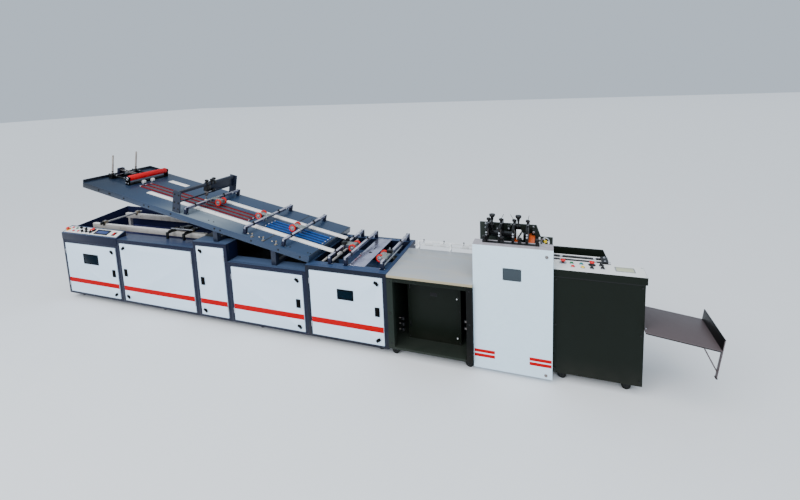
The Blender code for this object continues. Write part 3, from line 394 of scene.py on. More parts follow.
@dataclass(frozen=True)
class DeckSheenPaint(Paint):
    """Paint of the sloping deck: darker towards its high end, with a painted sheen as a pale band on
    its near side.
    """

    high: str = "0a121f"
    rub_and_sheen: str = "98a2a4"
    fade: tuple[float, float] = (-3.3, -1.9)
    path: tuple[float, float] = (-1.4, 0.85)
    across: tuple[float, float] = (-0.34, 0.3)

    def tone(self, graph: Graph) -> Signal:
        """Work out the paint's colour along the deck, with its painted sheen.

        Args:
            graph: The material's graph.

        Returns:
            The colour.
        """
        run = graph.place().along(RIGHT)
        side = graph.place().along(BACK)
        middle = (1.0 - abs(run - self.path[0]) / self.path[1]).rise(0.0, 1.0)
        near = (1.0 - abs(side - self.across[0]) / self.across[1]).rise(0.0, 0.8)
        # Painted sheen: share marks a pale band across the middle of the near side, on upward faces.
        share = middle * near * (
            graph.noise(3.0, 4.0, (0.7, 2.5, 1.0)) * 0.7 + 0.3) * graph.upward()
        colour = graph.mix(run.rise(*self.fade), linear(self.high), super().tone(graph))
        return graph.mix(share * 0.9, colour, linear(self.rub_and_sheen))


@dataclass(frozen=True)
class Metal(Finish):
    """Bare steel or aluminium, brushed along one axis, with fine scratches and dull patches.

    Where a side colour is given, faces that don't look up take that darker colour as painted shade.
    """

    colour: str = "c3c6cc"
    roughness: float = 0.28
    grain: Point = (4.0, 90.0, 90.0)
    tarnish: str = "8a8a90"
    metallic: float = 0.9
    side: str = ""

    def fill(self, graph: Graph) -> None:
        """Set up the shader.

        Args:
            graph: The material's graph.
        """
        brush = graph.noise(9.0, 5.0, self.grain)
        patch = graph.noise(11.0, 3.0).rise(0.4, 0.72)
        colour = graph.mix(patch * 0.55, linear(self.colour), linear(self.tarnish))
        colour = graph.mix(brush * 0.25, colour, linear("f4f5f8"))
        # Painted shade: faces that don't look up take the side colour.
        if self.side:
            colour = graph.mix(graph.upward(), linear(self.side), colour)
        graph.set(Base_Color=colour,
                  Metallic=self.metallic,
                  Roughness=brush * 0.16 + patch * 0.14 + (self.roughness - 0.08),
                  Normal=graph.bump(brush, 0.12, 0.0002))


@dataclass(frozen=True)
class Rubber(Finish):
    """Moulded rubber or polyurethane with a fine grain and a paler, dusty bloom on its edges."""

    colour: str
    bloom: str
    roughness: float = 0.52

    def fill(self, graph: Graph) -> None:
        """Set up the shader.

        Args:
            graph: The material's graph.
        """
        grain = graph.noise(900.0, 2.0)
        smudge = graph.noise(30.0, 4.0).rise(0.45, 0.75)
        edge = graph.edges(0.002) * 0.35
        colour = graph.mix(smudge * 0.22, linear(self.colour), linear(self.bloom))
        graph.set(Base_Color=graph.mix(edge, colour, linear(self.bloom)),
                  Roughness=smudge * 0.18 + (self.roughness - 0.06), Specular_IOR_Level=0.25,
                  Normal=graph.bump(grain, 0.15, 0.0003))


@dataclass(frozen=True)
class Plastic(Finish):
    """Moulded plastic with a satin skin, soft fingermarks and hardly any grain."""

    colour: str
    roughness: float = 0.32
    coat: float = 0.1
    shine: float = 0.3

    def fill(self, graph: Graph) -> None:
        """Set up the shader.

        Args:
            graph: The material's graph.
        """
        touch = graph.noise(55.0, 3.0).rise(0.4, 0.75)
        grain = graph.noise(1300.0, 1.0)
        base = linear(self.colour)
        pale = tuple(min(1.0, part * 1.25 + 0.01) for part in base[:3]) + (1.0,)
        graph.set(
            Base_Color=graph.mix(touch * 0.4, base, pale),
            Roughness=touch * 0.16 + (self.roughness - 0.05),
            Coat_Weight=self.coat, Coat_Roughness=0.12, Specular_IOR_Level=self.shine,
            Normal=graph.bump(grain, 0.06, 0.0002))


@dataclass(frozen=True)
class Laminate(Finish):
    """Grey laminated tabletop with a beige edge band, fine speckle and rubbed paths."""

    colour: str = "9ea3a8"
    rub_and_sheen: str = "aeaba2"
    band: str = "a0957a"
    band_top: float = 0.846
    band_low: float = 0.8235

    def fill(self, graph: Graph) -> None:
        """Set up the shader.

        Args:
            graph: The material's graph.
        """
        spot = graph.place()
        speckle = graph.noise(1500.0, 1.0)
        path = graph.noise(3.5, 4.0, (0.6, 2.4, 1.0)).rise(0.4, 0.7)
        colour = graph.mix(path * 0.6, linear(self.colour), linear(self.rub_and_sheen))
        colour = graph.mix(speckle * 0.14, colour, linear("8b8e94"))
        height = spot.along(UP)
        banded = height < self.band_top
        shade = graph.mix(graph.noise(60.0, 3.0) * 0.35, linear(self.band), linear("8b8069"))
        shade = graph.mix(height < self.band_low, shade, linear("1a1d1a"))
        graph.set(Base_Color=graph.mix(banded, colour, shade),
                  Roughness=path * 0.14 + 0.3, Coat_Weight=0.1,
                  Normal=graph.bump(speckle, 0.05, 0.0002))


@dataclass(frozen=True)
class Glass(Finish):
    """A dark screen or window: glossy, with a lit field where its glow is above zero."""

    colour: str
    glow: float = 0.0
    shine: float = 0.4

    def fill(self, graph: Graph) -> None:
        """Set up the shader.

        Args:
            graph: The material's graph.
        """
        haze = graph.noise(40.0, 3.0)
        graph.set(Base_Color=graph.mix(haze * 0.04, linear(self.colour), linear("3d4a60")),
                  Roughness=haze * 0.1 + 0.06, Specular_IOR_Level=self.shine,
                  Emission_Color=linear(self.colour), Emission_Strength=self.glow)


class Coat(Enum):
    """The finishes of the machine, by where they are used."""

    # The top sheen colours below are painted sheen: lighter colours on upward faces, as if lit from
    # above.
    FRAME = Paint(
        "slate_navy_frame", "0a1129", "333d58", roughness=0.38, wear=0.5, coat=0.03, shine=0.22,
        top_sheen="42536e", top_sheen_share=0.8)
    # Behind its ledge the cover is painted near-black: painted shade under the deck.
    COVER = LedgePaint(
        "slate_cover", "0a1129", "333d58", roughness=0.38, wear=0.5, coat=0.03, shine=0.2,
        top_sheen="42536e", top_sheen_share=0.9)
    END_FRAME = Paint(
        "blue_navy_frame", "050d20", "2c4068", roughness=0.38, wear=0.5, coat=0.03, shine=0.22,
        top_sheen="364a6b", top_sheen_share=0.8)
    GANTRY = Paint(
        "slate_gantry", "1b2232", "48516a", roughness=0.36, wear=0.6, coat=0.04, shine=0.3)
    TROUGH = LedgePaint(
        "deep_navy_trough", "1a2340", "3a4274", roughness=0.36, dust=0.0, shine=0.2,
        top_sheen="3c4a68", top_sheen_share=0.85, inner="23275a", inner_top_sheen="2b2f5a", ledge=-0.215)
    DOOR = Paint("cool_white_door", "d2e7fb", "aab8c3", roughness=0.3, cloud=0.025, dust=0.08,
                 dirt="8b8d90")
    STRIPE = Paint(
        "red_stripe", "b0020e", "8a0810", roughness=0.55, cloud=0.04, dust=0.0, coat=0.0,
        shine=0.04)
    # Painted sheen: a pale band on the deck's near side, and lighter upward faces.
    DECK = DeckSheenPaint(
        "blue_grey_deck", "26374f", "74849c", roughness=0.34, cloud=0.12, wear=0.6, coat=0.1,
        shine=0.35, peel=0.03, top_sheen="3f5c80", top_sheen_share=0.12)
    PANEL = Paint("white_panel", "e6e8e6", "c9c9c6", roughness=0.34, cloud=0.02, dust=0.0)
    CABINET = Paint("green_black_cabinet", "0b120b", "333d34", roughness=0.45, wear=0.45, coat=0.0,
                    shine=0.15)
    WALL = Paint(
        "navy_wall", "171c38", "3a4266", roughness=0.38, wear=0.5, shine=0.2, top_sheen="32385a",
        top_sheen_share=0.6)
    POST = Paint(
        "grey_green_post", "1d2520", "4b564c", roughness=0.45, wear=0.4, coat=0.0, shine=0.2)
    # Beyond its ledge, at the right-hand end of the table cabinet, it is painted near-black: painted
    # shade.
    BAY = LedgePaint(
        "grey_green_bay", "1d2520", "3b463c", roughness=0.5, wear=0.3, coat=0.0, shine=0.15,
        inner="020302", ledge=1.684, axis=RIGHT)
    TOWER = TwoTonePaint("white_tower_cover", "cde3f2", "a4b2bb", roughness=0.28, cloud=0.02,
                         dust=0.06, dirt="8b8d90", top_colour="a29da3", top_from=1.2195)
    RAIL_WHITE = Paint("white_side_rail", "e9ecee", "b8bcc0", roughness=0.36, cloud=0.03, dust=0.0)
    TRAY = Paint("brown_grey_tray", "51484a", "7b7270", roughness=0.42, cloud=0.1, dust=0.0)
    TRAY_END = Paint(
        "black_end_plate", "020202", "2a1e1a", roughness=0.45, dust=0.0, coat=0.0, shine=0.2)
    BLACK = Paint("black_steel", "060709", "33373f", roughness=0.36, wear=0.6, dust=0.0, coat=0.0)
    STRIP = Plastic("ivory_guide_strip", "f4f2ef", roughness=0.3)
    RAIL = Metal("feed_rail_steel", "c0bbb4", 0.4, (5.0, 80.0, 80.0), "8d7f6d", 0.35)
    STEEL = Metal("brushed_steel")
    HUB = Metal("wheel_hub", "8b8f92", 0.38, (60.0, 60.0, 60.0), "6f7478", 0.7)
    ARM = Paint("grey_green_arm", "757d79", "a4aaa5", roughness=0.4, wear=0.5, dust=0.0)
    EDGE_BAND = Paint(
        "beige_edge_band", "a0957a", "8b8069", roughness=0.4, wear=0.3, cloud=0.05, dust=0.0)
    PLATE_FACE = Paint("blank_plate_face", "2f3a41", "6f7f87", roughness=0.3, cloud=0.1, dust=0.0)
    # Its sides are darker as painted shade; its top keeps the bright steel.
    CROSS_STEEL = Metal("cross_bar_steel", "d3d2e2", 0.3, (90.0, 4.0, 90.0), "777792", 0.75,
                        "5c5f74")
    PLATE_STEEL = Metal("polished_plate", "bdbcd6", 0.2, (60.0, 4.0, 60.0), "6d6b8e", 0.85)
    ZINC = Metal("zinc_fastener", "b0b3ba", 0.34, (60.0, 60.0, 60.0), "66686e", 0.9)
    BRASS = Metal("brass_fitting", "8f7c5c", 0.32, (60.0, 60.0, 60.0), "65522f", 0.9)
    ROD = Metal("beige_rod", "9c9184", 0.36, (60.0, 60.0, 60.0), "6c6156", 0.6)
    BRONZE = Metal("brown_fitting", "6b5f58", 0.34, (60.0, 60.0, 60.0), "453c38", 0.8)
    RED_RUBBER = Rubber("red_rubber", "cc0010", "d9443c")
    TYRE_RED = Rubber("red_tyre", "c9140f", "d9574a")
    BLACK_RUBBER = Rubber("black_rubber", "08080a", "2b2d31", 0.6)
    ORANGE = Rubber("orange_sleeve", "d9581c", "e58b58")
    RED_BELT = Rubber("red_belt", "7a0712", "a0323c")
    BLUE_BELT = Rubber("blue_belt", "0b478f", "3a76b8")
    BLUE_BED = Rubber("blue_belt_bed", "0a2a58", "1f4680")
    BELT_BED = Rubber("dark_belt_bed", "474b55", "6c717c")
    LATCH = Plastic("black_latch", "010101", roughness=0.55, coat=0.0, shine=0.06)
    KNOB = Plastic("black_knob", "040406", roughness=0.34, coat=0.0)
    WHITE_KNOB = Plastic("white_knob", "d9dbdc")
    RED_BUTTON = Plastic("red_button", "cf0008", roughness=0.25)
    PINK_BUTTON = Plastic("rose_button", "e02c40", roughness=0.25)
    GREEN_BUTTON = Plastic("green_button", "04683a", roughness=0.25)
    TEAL_BUTTON = Plastic("teal_button", "007070", roughness=0.25)
    YELLOW_BUTTON = Plastic("yellow_button", "e6c60f", roughness=0.25)
    AMBER_BASE = Plastic("amber_base", "f0930f", roughness=0.28)
    BEZEL = Plastic("dark_bezel", "030809", roughness=0.4, coat=0.0)
    SCREEN = Glass("display", "2e4070", 0.1)
    WINDOW = Glass("door_window", "01111c", shine=0.03)
    PLATE = Paint("blank_data_plate", "283138", "6f7f87", roughness=0.3, cloud=0.08, dust=0.0)
    PALE_PLATE = Paint(
        "pale_display_plate", "b9bd9f", "a5a894", roughness=0.35, cloud=0.05, dust=0.0)
    TABLE = Laminate("grey_laminate")
    CASTER = Rubber("caster_tyre", "0a0d0b", "262c28", 0.55)
    FLOOR = Paint(
        "studio_floor", "e4e7ea", "e4e7ea", roughness=0.85, wear=0.0, cloud=0.01, dust=0.0,
        coat=0.0, shine=0.1)

    @property
    def material(self) -> bpy.types.Material:
        """Return the finish's material."""
        return material_of(self.value)


# Meshes


@dataclass
class Piece:
    """Gathers shapes into one mesh. Shapes are given in the piece's own frame."""

    name: str
    frame: Matrix = field(default_factory=lambda: Matrix.Identity(4))
    sharp: float = math.radians(38)
    coats: list[Coat] = field(default_factory=list)
    work: bmesh.types.BMesh = field(default_factory=bmesh.new)

    def _coat(self, faces: Iterable[bmesh.types.BMFace], coat: Coat) -> None:
        """Give faces a finish.

        Args:
            faces: The faces.
            coat: Their finish.
        """
        if coat not in self.coats:
            self.coats.append(coat)
        index = self.coats.index(coat)
        for face in faces:
            face.material_index = index
            face.smooth = True

    def slab(self, low: Sequence[float], high: Sequence[float], coat: Coat, edge: float = 0.001,
             turn: Matrix | None = None) -> None:
        """Add a block with rounded edges.

        Args:
            low: The lowest corner.
            high: The highest corner.
            coat: Its finish.
            edge: The radius of its edges.
            turn: A rotation about the block's middle.
        """
        low, high = Vector(low), Vector(high)
        middle = (low + high) / 2
        made = bmesh.ops.create_cube(self.work, size=1.0)["verts"]
        bmesh.ops.scale(self.work, vec=high - low, verts=made)
        if turn:
            bmesh.ops.rotate(self.work, matrix=turn, verts=made)
        bmesh.ops.translate(self.work, vec=middle, verts=made)
        sides = {side for corner in made for side in corner.link_edges}
        self._rounded(sides, min(edge, min(high - low) * 0.45), coat)

    def _rounded(self, sides: Iterable[bmesh.types.BMEdge], edge: float, coat: Coat) -> None:
        """Round the edges of the shape that was just made, and give it its finish.

        Args:
            sides: Its edges.
            edge: The radius they get.
            coat: Its finish.
        """
        corners = bmesh.ops.bevel(self.work, geom=list(sides), offset=edge, segments=2, profile=0.5,
            affect="EDGES", clamp_overlap=True)["verts"]
        self._coat({face for corner in corners for face in corner.link_faces}, coat)

    def turned(self, start: Sequence[float], end: Sequence[float],
               profile: Sequence[tuple[float, float]], coat: Coat, sides: int = 32) -> None:
        """Add a turned shape.

        Args:
            start: One end of the axis.
            end: The other end of the axis.
            profile: Distances from start, as shares of the axis, and radii in metres.
            coat: Its finish.
            sides: The facets round the axis.
        """
        start, end = Vector(start), Vector(end)
        turn = (end - start).to_track_quat("Z", "Y").to_matrix()
        length = (end - start).length
        rings = []
        for share, radius in profile:
            ring = []
            for step in range(sides):
                angle = 2 * math.pi * step / sides
                local = Vector((radius * math.cos(angle), radius * math.sin(angle), share * length))
                ring.append(self.work.verts.new(start + turn @ local))
            rings.append(ring)
        faces = [self.work.faces.new(list(reversed(rings[0]))), self.work.faces.new(rings[-1])]
        for lower, upper in zip(rings, rings[1:]):
            for step in range(sides):
                after = (step + 1) % sides
                faces.append(
                    self.work.faces.new((lower[step], lower[after], upper[after], upper[step])))
        self._coat(faces, coat)

    def knob(self, base: Sequence[float], tip: Sequence[float], radius: float, coat: Coat,
             sides: int = 24) -> None:
        """Add a short round knob with a skirt, a waist and a rounded cap.

        Args:
            base: The middle of its foot.
            tip: The middle of its cap.
            radius: The radius of its skirt.
            coat: Its finish.
            sides: The facets round the axis.
        """
        self.turned(
            base, tip, ((0.0, radius), (0.18, radius), (0.26, radius * 0.86), (0.62, radius * 0.84),
                (0.72, radius * 0.97), (0.9, radius * 0.92), (1.0, radius * 0.62)), coat, sides)

    def pin(self, start: Sequence[float], end: Sequence[float], radius: float, coat: Coat,
            sides: int = 16) -> None:
        """Add a plain round pin between two places."""
        self.turned(start, end, ((0.0, radius), (1.0, radius)), coat, sides)

    def cap(self, start: Sequence[float], end: Sequence[float], radii: tuple[float, float],
            coat: Coat, share: float = 0.6, sides: int = 32) -> None:
        """Add a round head, radii at foot and top, that tapers past a share of its height."""
        foot, top = radii
        self.turned(start, end, ((0.0, foot), (share, foot), (1.0, top)), coat, sides)

    def drum(self, start: Sequence[float], end: Sequence[float], radii: tuple[float, float],
             coat: Coat, share: float = 0.1, sides: int = 32) -> None:
        """Add a round body with the same taper at both ends, such as a roller or a shaft.

        Args:
            start: One end of the axis.
            end: The other end of the axis.
            radii: The radius at the ends and the radius between the tapers.
            coat: Its finish.
            share: The length of one taper, as a share of the axis.
            sides: The facets round the axis.
        """
        tip, full = radii
        profile = ((0.0, tip), (share, full), (1.0 - share, full), (1.0, tip))
        self.turned(start, end, profile, coat, sides)

    def bar(self, start: Sequence[float], end: Sequence[float], radius: float,
            coat: Coat) -> None:
        """Add a thin round bar with broken edges."""
        self.drum(start, end, (radius * 0.9, radius), coat, 0.01, 12)

    def bolt(self, seat: Sequence[float], axis: Sequence[float], radius: float = 0.006,
             coat: Coat = Coat.ZINC) -> None:
        """Add a washer with a six-sided head.

        Args:
            seat: The middle of the face that it sits on.
            axis: The way out of that face.
            radius: The radius and the height of its head.
            coat: Its finish.
        """
        seat, axis = Vector(seat), Vector(axis).normalized()
        head = seat + axis * radius * 0.3
        self.cap(seat, head, (radius * 1.5, radius * 1.4), coat, 0.7, 16)
        self.cap(head, seat + axis * radius, (radius, radius * 0.8), coat, 0.75, 6)

    def bolts(self, xs: Sequence[float], ys: Sequence[float], zs: Sequence[float],
              axis: Sequence[float], radius: float = 0.006, coat: Coat = Coat.ZINC) -> None:
        """Add a bolt, pointing along the axis, at every crossing of places on x, y and z."""
        for seat in product(xs, ys, zs):
            self.bolt(seat, axis, radius, coat)

    def plate(self, corners: Sequence[Sequence[float]], thick: Sequence[float], coat: Coat,
              edge: float = 0.0006) -> None:
        """Add a flat plate from its outline.

        Args:
            corners: The outline's corners, in order.
            thick: The way from the outline to its other face.
            coat: Its finish.
            edge: The radius of its edges.
        """
        base = self.work.faces.new([self.work.verts.new(corner) for corner in corners])
        grown = bmesh.ops.extrude_face_region(self.work, geom=[base])["geom"]
        tops = [item for item in grown if isinstance(item, bmesh.types.BMVert)]
        bmesh.ops.translate(self.work, vec=Vector(thick), verts=tops)
        faces = {face for corner in tops for face in corner.link_faces} | {base}
        bmesh.ops.recalc_face_normals(self.work, faces=list(faces))
        self._rounded({side for face in faces for side in face.edges}, edge, coat)

    def ring(self, centre: Sequence[float], axis: Sequence[float], radius: float, tube: float,
             coat: Coat, sides: int = 32) -> None:
        """Add a ring of round section.

        Args:
            centre: Its middle.
            axis: The direction it turns about.
            radius: From its middle to the middle of the section.
            tube: The radius of the section.
            coat: Its finish.
            sides: The facets round the axis.
        """
        turn = Vector(axis).to_track_quat("Z", "Y").to_matrix()
        loops = []
        for step in range(sides):
            angle = 2 * math.pi * step / sides
            loop = []
            for part in range(12):
                lean = 2 * math.pi * part / 12
                reach = radius + tube * math.cos(lean)
                local = Vector((reach * math.cos(angle), reach * math.sin(angle),
                                tube * math.sin(lean)))
                loop.append(self.work.verts.new(Vector(centre) + turn @ local))
            loops.append(loop)
        faces = []
        for step, loop in enumerate(loops):
            after = loops[(step + 1) % sides]
            for part in range(12):
                beside = (part + 1) % 12
                faces.append(
                    self.work.faces.new((loop[part], after[part], after[beside], loop[beside])))
        self._coat(faces, coat)

    def thread(self, start: Sequence[float], end: Sequence[float], radius: float, pitch: float,
               coat: Coat, depth: float = 0.15) -> None:
        """Add a threaded rod or a spring.

        Args:
            start: One end of the axis.
            end: The other end of the axis.
            radius: The radius over its ridges.
            pitch: The distance from ridge to ridge.
            coat: Its finish.
            depth: The depth of its grooves, as a share of the radius.
        """
        length = (Vector(end) - Vector(start)).length
        count = max(2, round(length / pitch))
        profile = []
        for turn in range(count):
            profile.append((turn / count, radius * (1 - depth)))
            profile.append(((turn + 0.5) / count, radius))
        profile.append((1.0, radius * (1 - depth)))
        self.turned(start, end, profile, coat, 16)

    def star_knob(self, base: Sequence[float], height: float, radius: float, coat: Coat) -> None:
        """Add an upright knob with five lobes and a round hub below.

        Args:
            base: The middle of its foot.
            height: Its height.
            radius: The radius over its lobes.
            coat: Its finish.
        """
        x, y, z = base
        self.turned(
            base, (x, y, z + height * 0.45),
            ((0.0, radius * 0.5), (0.8, radius * 0.45), (1.0, radius * 0.6)), coat, 16)
        lift = z + height * 0.45
        self.turned(
            (x, y, lift), (x, y, z + height),
            ((0.0, radius * 0.62), (0.2, radius * 0.78), (0.8, radius * 0.74), (1.0, radius * 0.5)),
            coat, 24)
        for lobe in range(5):
            angle = 2 * math.pi * lobe / 5
            spot = (x + radius * 0.66 * math.cos(angle), y + radius * 0.66 * math.sin(angle))
            self.turned((*spot, lift + height * 0.04), (*spot, z + height * 0.96),
                        ((0.0, radius * 0.2), (0.2, radius * 0.34), (0.8, radius * 0.34),
                         (1.0, radius * 0.2)), coat, 12)

    def made(self, body: str = LINE_BODY, replaces: Sequence[str] = ()) -> bpy.types.Object:
        """Turn the shapes into an object that rides on a body.

        Args:
            body: The CAD body that carries it.
            replaces: CAD nodes that it stands for.

        Returns:
            The object.
        """
        bmesh.ops.transform(self.work, matrix=self.frame, verts=self.work.verts)
        mesh = bpy.data.meshes.new(self.name)
        self.work.to_mesh(mesh)
        self.work.free()
        mesh.set_sharp_from_angle(angle=self.sharp)
        for coat in self.coats:
            mesh.materials.append(coat.material)
        made = bpy.data.objects.new(self.name, mesh)
        bpy.context.scene.collection.objects.link(made)
        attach(made, body)
        if replaces:
            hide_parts(*replaces)
        LOG.info("piece %s rides on %s with %d faces", self.name, body, len(mesh.polygons))
        return made


# The machine's own frames


@dataclass(frozen=True)
class Ground:
    """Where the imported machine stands: places are given from its left end, door plane and floor."""

    corner: Vector
    deck_skirt: float = 0.068
    deck_rim: float = 0.035
    deck_slope: float = math.radians(11.6)
    tray_slope: float = math.radians(7.3)
    tray_thick: float = 0.006
    tray_height: float = 0.6
    panel_thick: float = 0.002

    @classmethod
    def measured(cls, depth: float = 0.96) -> "Ground":
        """Read the machine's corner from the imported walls, which end a depth behind the doors."""
        low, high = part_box("cabinet_walls")
        return cls(Vector((low.x, high.y - depth, 0.0)))

    @property
    def level(self) -> Matrix:
        """Return the frame of the floor."""
        return Matrix.Translation(self.corner)

    @property
    def deck(self) -> Matrix:
        """Work out the frame of the sloping deck.

        Returns:
            A frame whose x runs down the deck, y across it and z off it.
        """
        low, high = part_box("deck")
        origin = Vector((low.x + self.deck_skirt * math.sin(self.deck_slope), low.y,
                         high.z - self.deck_rim * math.cos(self.deck_slope)))
        return Matrix.Translation(origin) @ Matrix.Rotation(self.deck_slope, 4, "Y")

    @property
    def panel(self) -> Matrix:
        """Work out the frame of the control panel on the first cabinet.

        Returns:
            A frame whose y runs up the panel's slope.
        """
        low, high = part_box("control_panel")
        slope = math.atan2(high.z - low.z - self.panel_thick, high.y - low.y)
        corner = Matrix.Translation((low.x, low.y, low.z + self.panel_thick))
        return corner @ Matrix.Rotation(slope, 4, "X")

    @property
    def tray(self) -> Matrix:
        """Work out the frame of the delivery tray.

        Returns:
            A frame whose x runs down the tray.
        """
        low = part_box("delivery_tray")[0]
        origin = Vector(
            (low.x + self.tray_thick * math.sin(self.tray_slope), low.y, self.tray_height))
        return Matrix.Translation(origin) @ Matrix.Rotation(self.tray_slope, 4, "Y")

    def piece(self, name: str) -> Piece:
        """Start a piece in the floor's frame."""
        return Piece(name, self.level)


# Studio


@dataclass
class Studio:
    """The camera, the pale floor and the soft lights."""

    ground: Ground
    eye: Point = (6.081, -3.604, 2.614)
    target: Point = (4.78, 0.0, 2.103)
    roll: float = -0.03907
    focal_pixels: float = 426.123
    centre_pixel: tuple[float, float] = (398.384, 145.577)
    picture: tuple[int, int] = (800, 500)
    sensor: float = 36.0
    sight: tuple[float, float] = (0.05, 200.0)
    soft_boxes: Mapping[str, tuple[Point, float, float]] = field(default_factory=lambda: {
        "key": ((-2.5, -6.5, 5.5), 5.0, 300.0), "fill": ((4.5, -6.0, 3.6), 4.5, 140.0)})
    aim: Point = (0.0, 0.0, 0.7)
    sky_way: Point = (0.18, 0.62, -1.0)
    sky_spread: float = math.radians(70)
    sky_power: float = 2.3
    air: str = "dcebfa"
    air_power: float = 0.8

    def place_camera(self) -> None:
        """Put the camera where the photograph was taken from."""
        eye, target = Vector(self.eye), Vector(self.target)
        ahead = (target - eye).normalized()
        side = ahead.cross(Vector(UP)).normalized()
        up = side.cross(ahead)
        right = side * math.cos(self.roll) + up * math.sin(self.roll)
        above = up * math.cos(self.roll) - side * math.sin(self.roll)
        turn = Matrix((right, above, -ahead)).transposed().to_4x4()
        wide, tall = self.picture
        data = bpy.data.cameras.new("photo_camera")
        data.sensor_width = self.sensor
        data.lens = self.focal_pixels * self.sensor / wide
        data.shift_x = (wide / 2 - self.centre_pixel[0]) / wide
        data.shift_y = (self.centre_pixel[1] - tall / 2) / wide
        data.clip_start, data.clip_end = self.sight
        camera = bpy.data.objects.new("photo_camera", data)
        camera.matrix_world = self.ground.level @ Matrix.Translation(eye) @ turn
        bpy.context.scene.collection.objects.link(camera)
        bpy.context.scene.camera = camera

    def lay_floor(self, reach: float = 70.0) -> None:
        """Lay the floor.

        Args:
            reach: How far it reaches to each side.
        """
        floor = Piece("studio_floor")
        floor.slab((-reach, -reach, -0.02), (reach, reach, 0.0), Coat.FLOOR)
        mesh = bpy.data.meshes.new("studio_floor")
        floor.work.to_mesh(mesh)
        floor.work.free()
        mesh.materials.append(Coat.FLOOR.material)
        made = bpy.data.objects.new("studio_floor", mesh)
        bpy.context.scene.collection.objects.link(made)

    @staticmethod
    def hang(lamp: bpy.types.Light, spot: Sequence[float], way: Vector) -> None:
        """Hang a light at a spot, looking a way.

        Args:
            lamp: The light's data.
            spot: Its place.
            way: The way that it looks.
        """
        held = bpy.data.objects.new(lamp.name, lamp)
        held.location = spot
        held.rotation_euler = way.to_track_quat("-Z", "Y").to_euler()
        bpy.context.scene.collection.objects.link(held)

    def light(self) -> None:
        """Hang the soft boxes and light the surroundings."""
        sun = bpy.data.lights.new("sky", "SUN")
        sun.angle = self.sky_spread
        sun.energy = self.sky_power
        self.hang(sun, (0.0, 0.0, 0.0), Vector(self.sky_way))
        for name, (spot, size, power) in self.soft_boxes.items():
            lamp = bpy.data.lights.new(name, "AREA")
            lamp.shape = "DISK"
            lamp.size = size
            lamp.energy = power
            self.hang(lamp, spot, Vector(self.aim) - Vector(spot))
        world = bpy.data.worlds.new("pale_studio")
        world.use_nodes = True
        back = world.node_tree.nodes["Background"]
        back.inputs["Color"].default_value = linear(self.air)
        back.inputs["Strength"].default_value = self.air_power
        bpy.context.scene.world = world

    def build(self) -> None:
        """Set up the whole studio."""
        self.place_camera()
        self.lay_floor()
        self.light()


# Sub-assemblies


class HingeSide(Enum):
    """The side of a door that carries its hinges, as the way from there to its free edge."""

    LEFT = 1
    RIGHT = -1


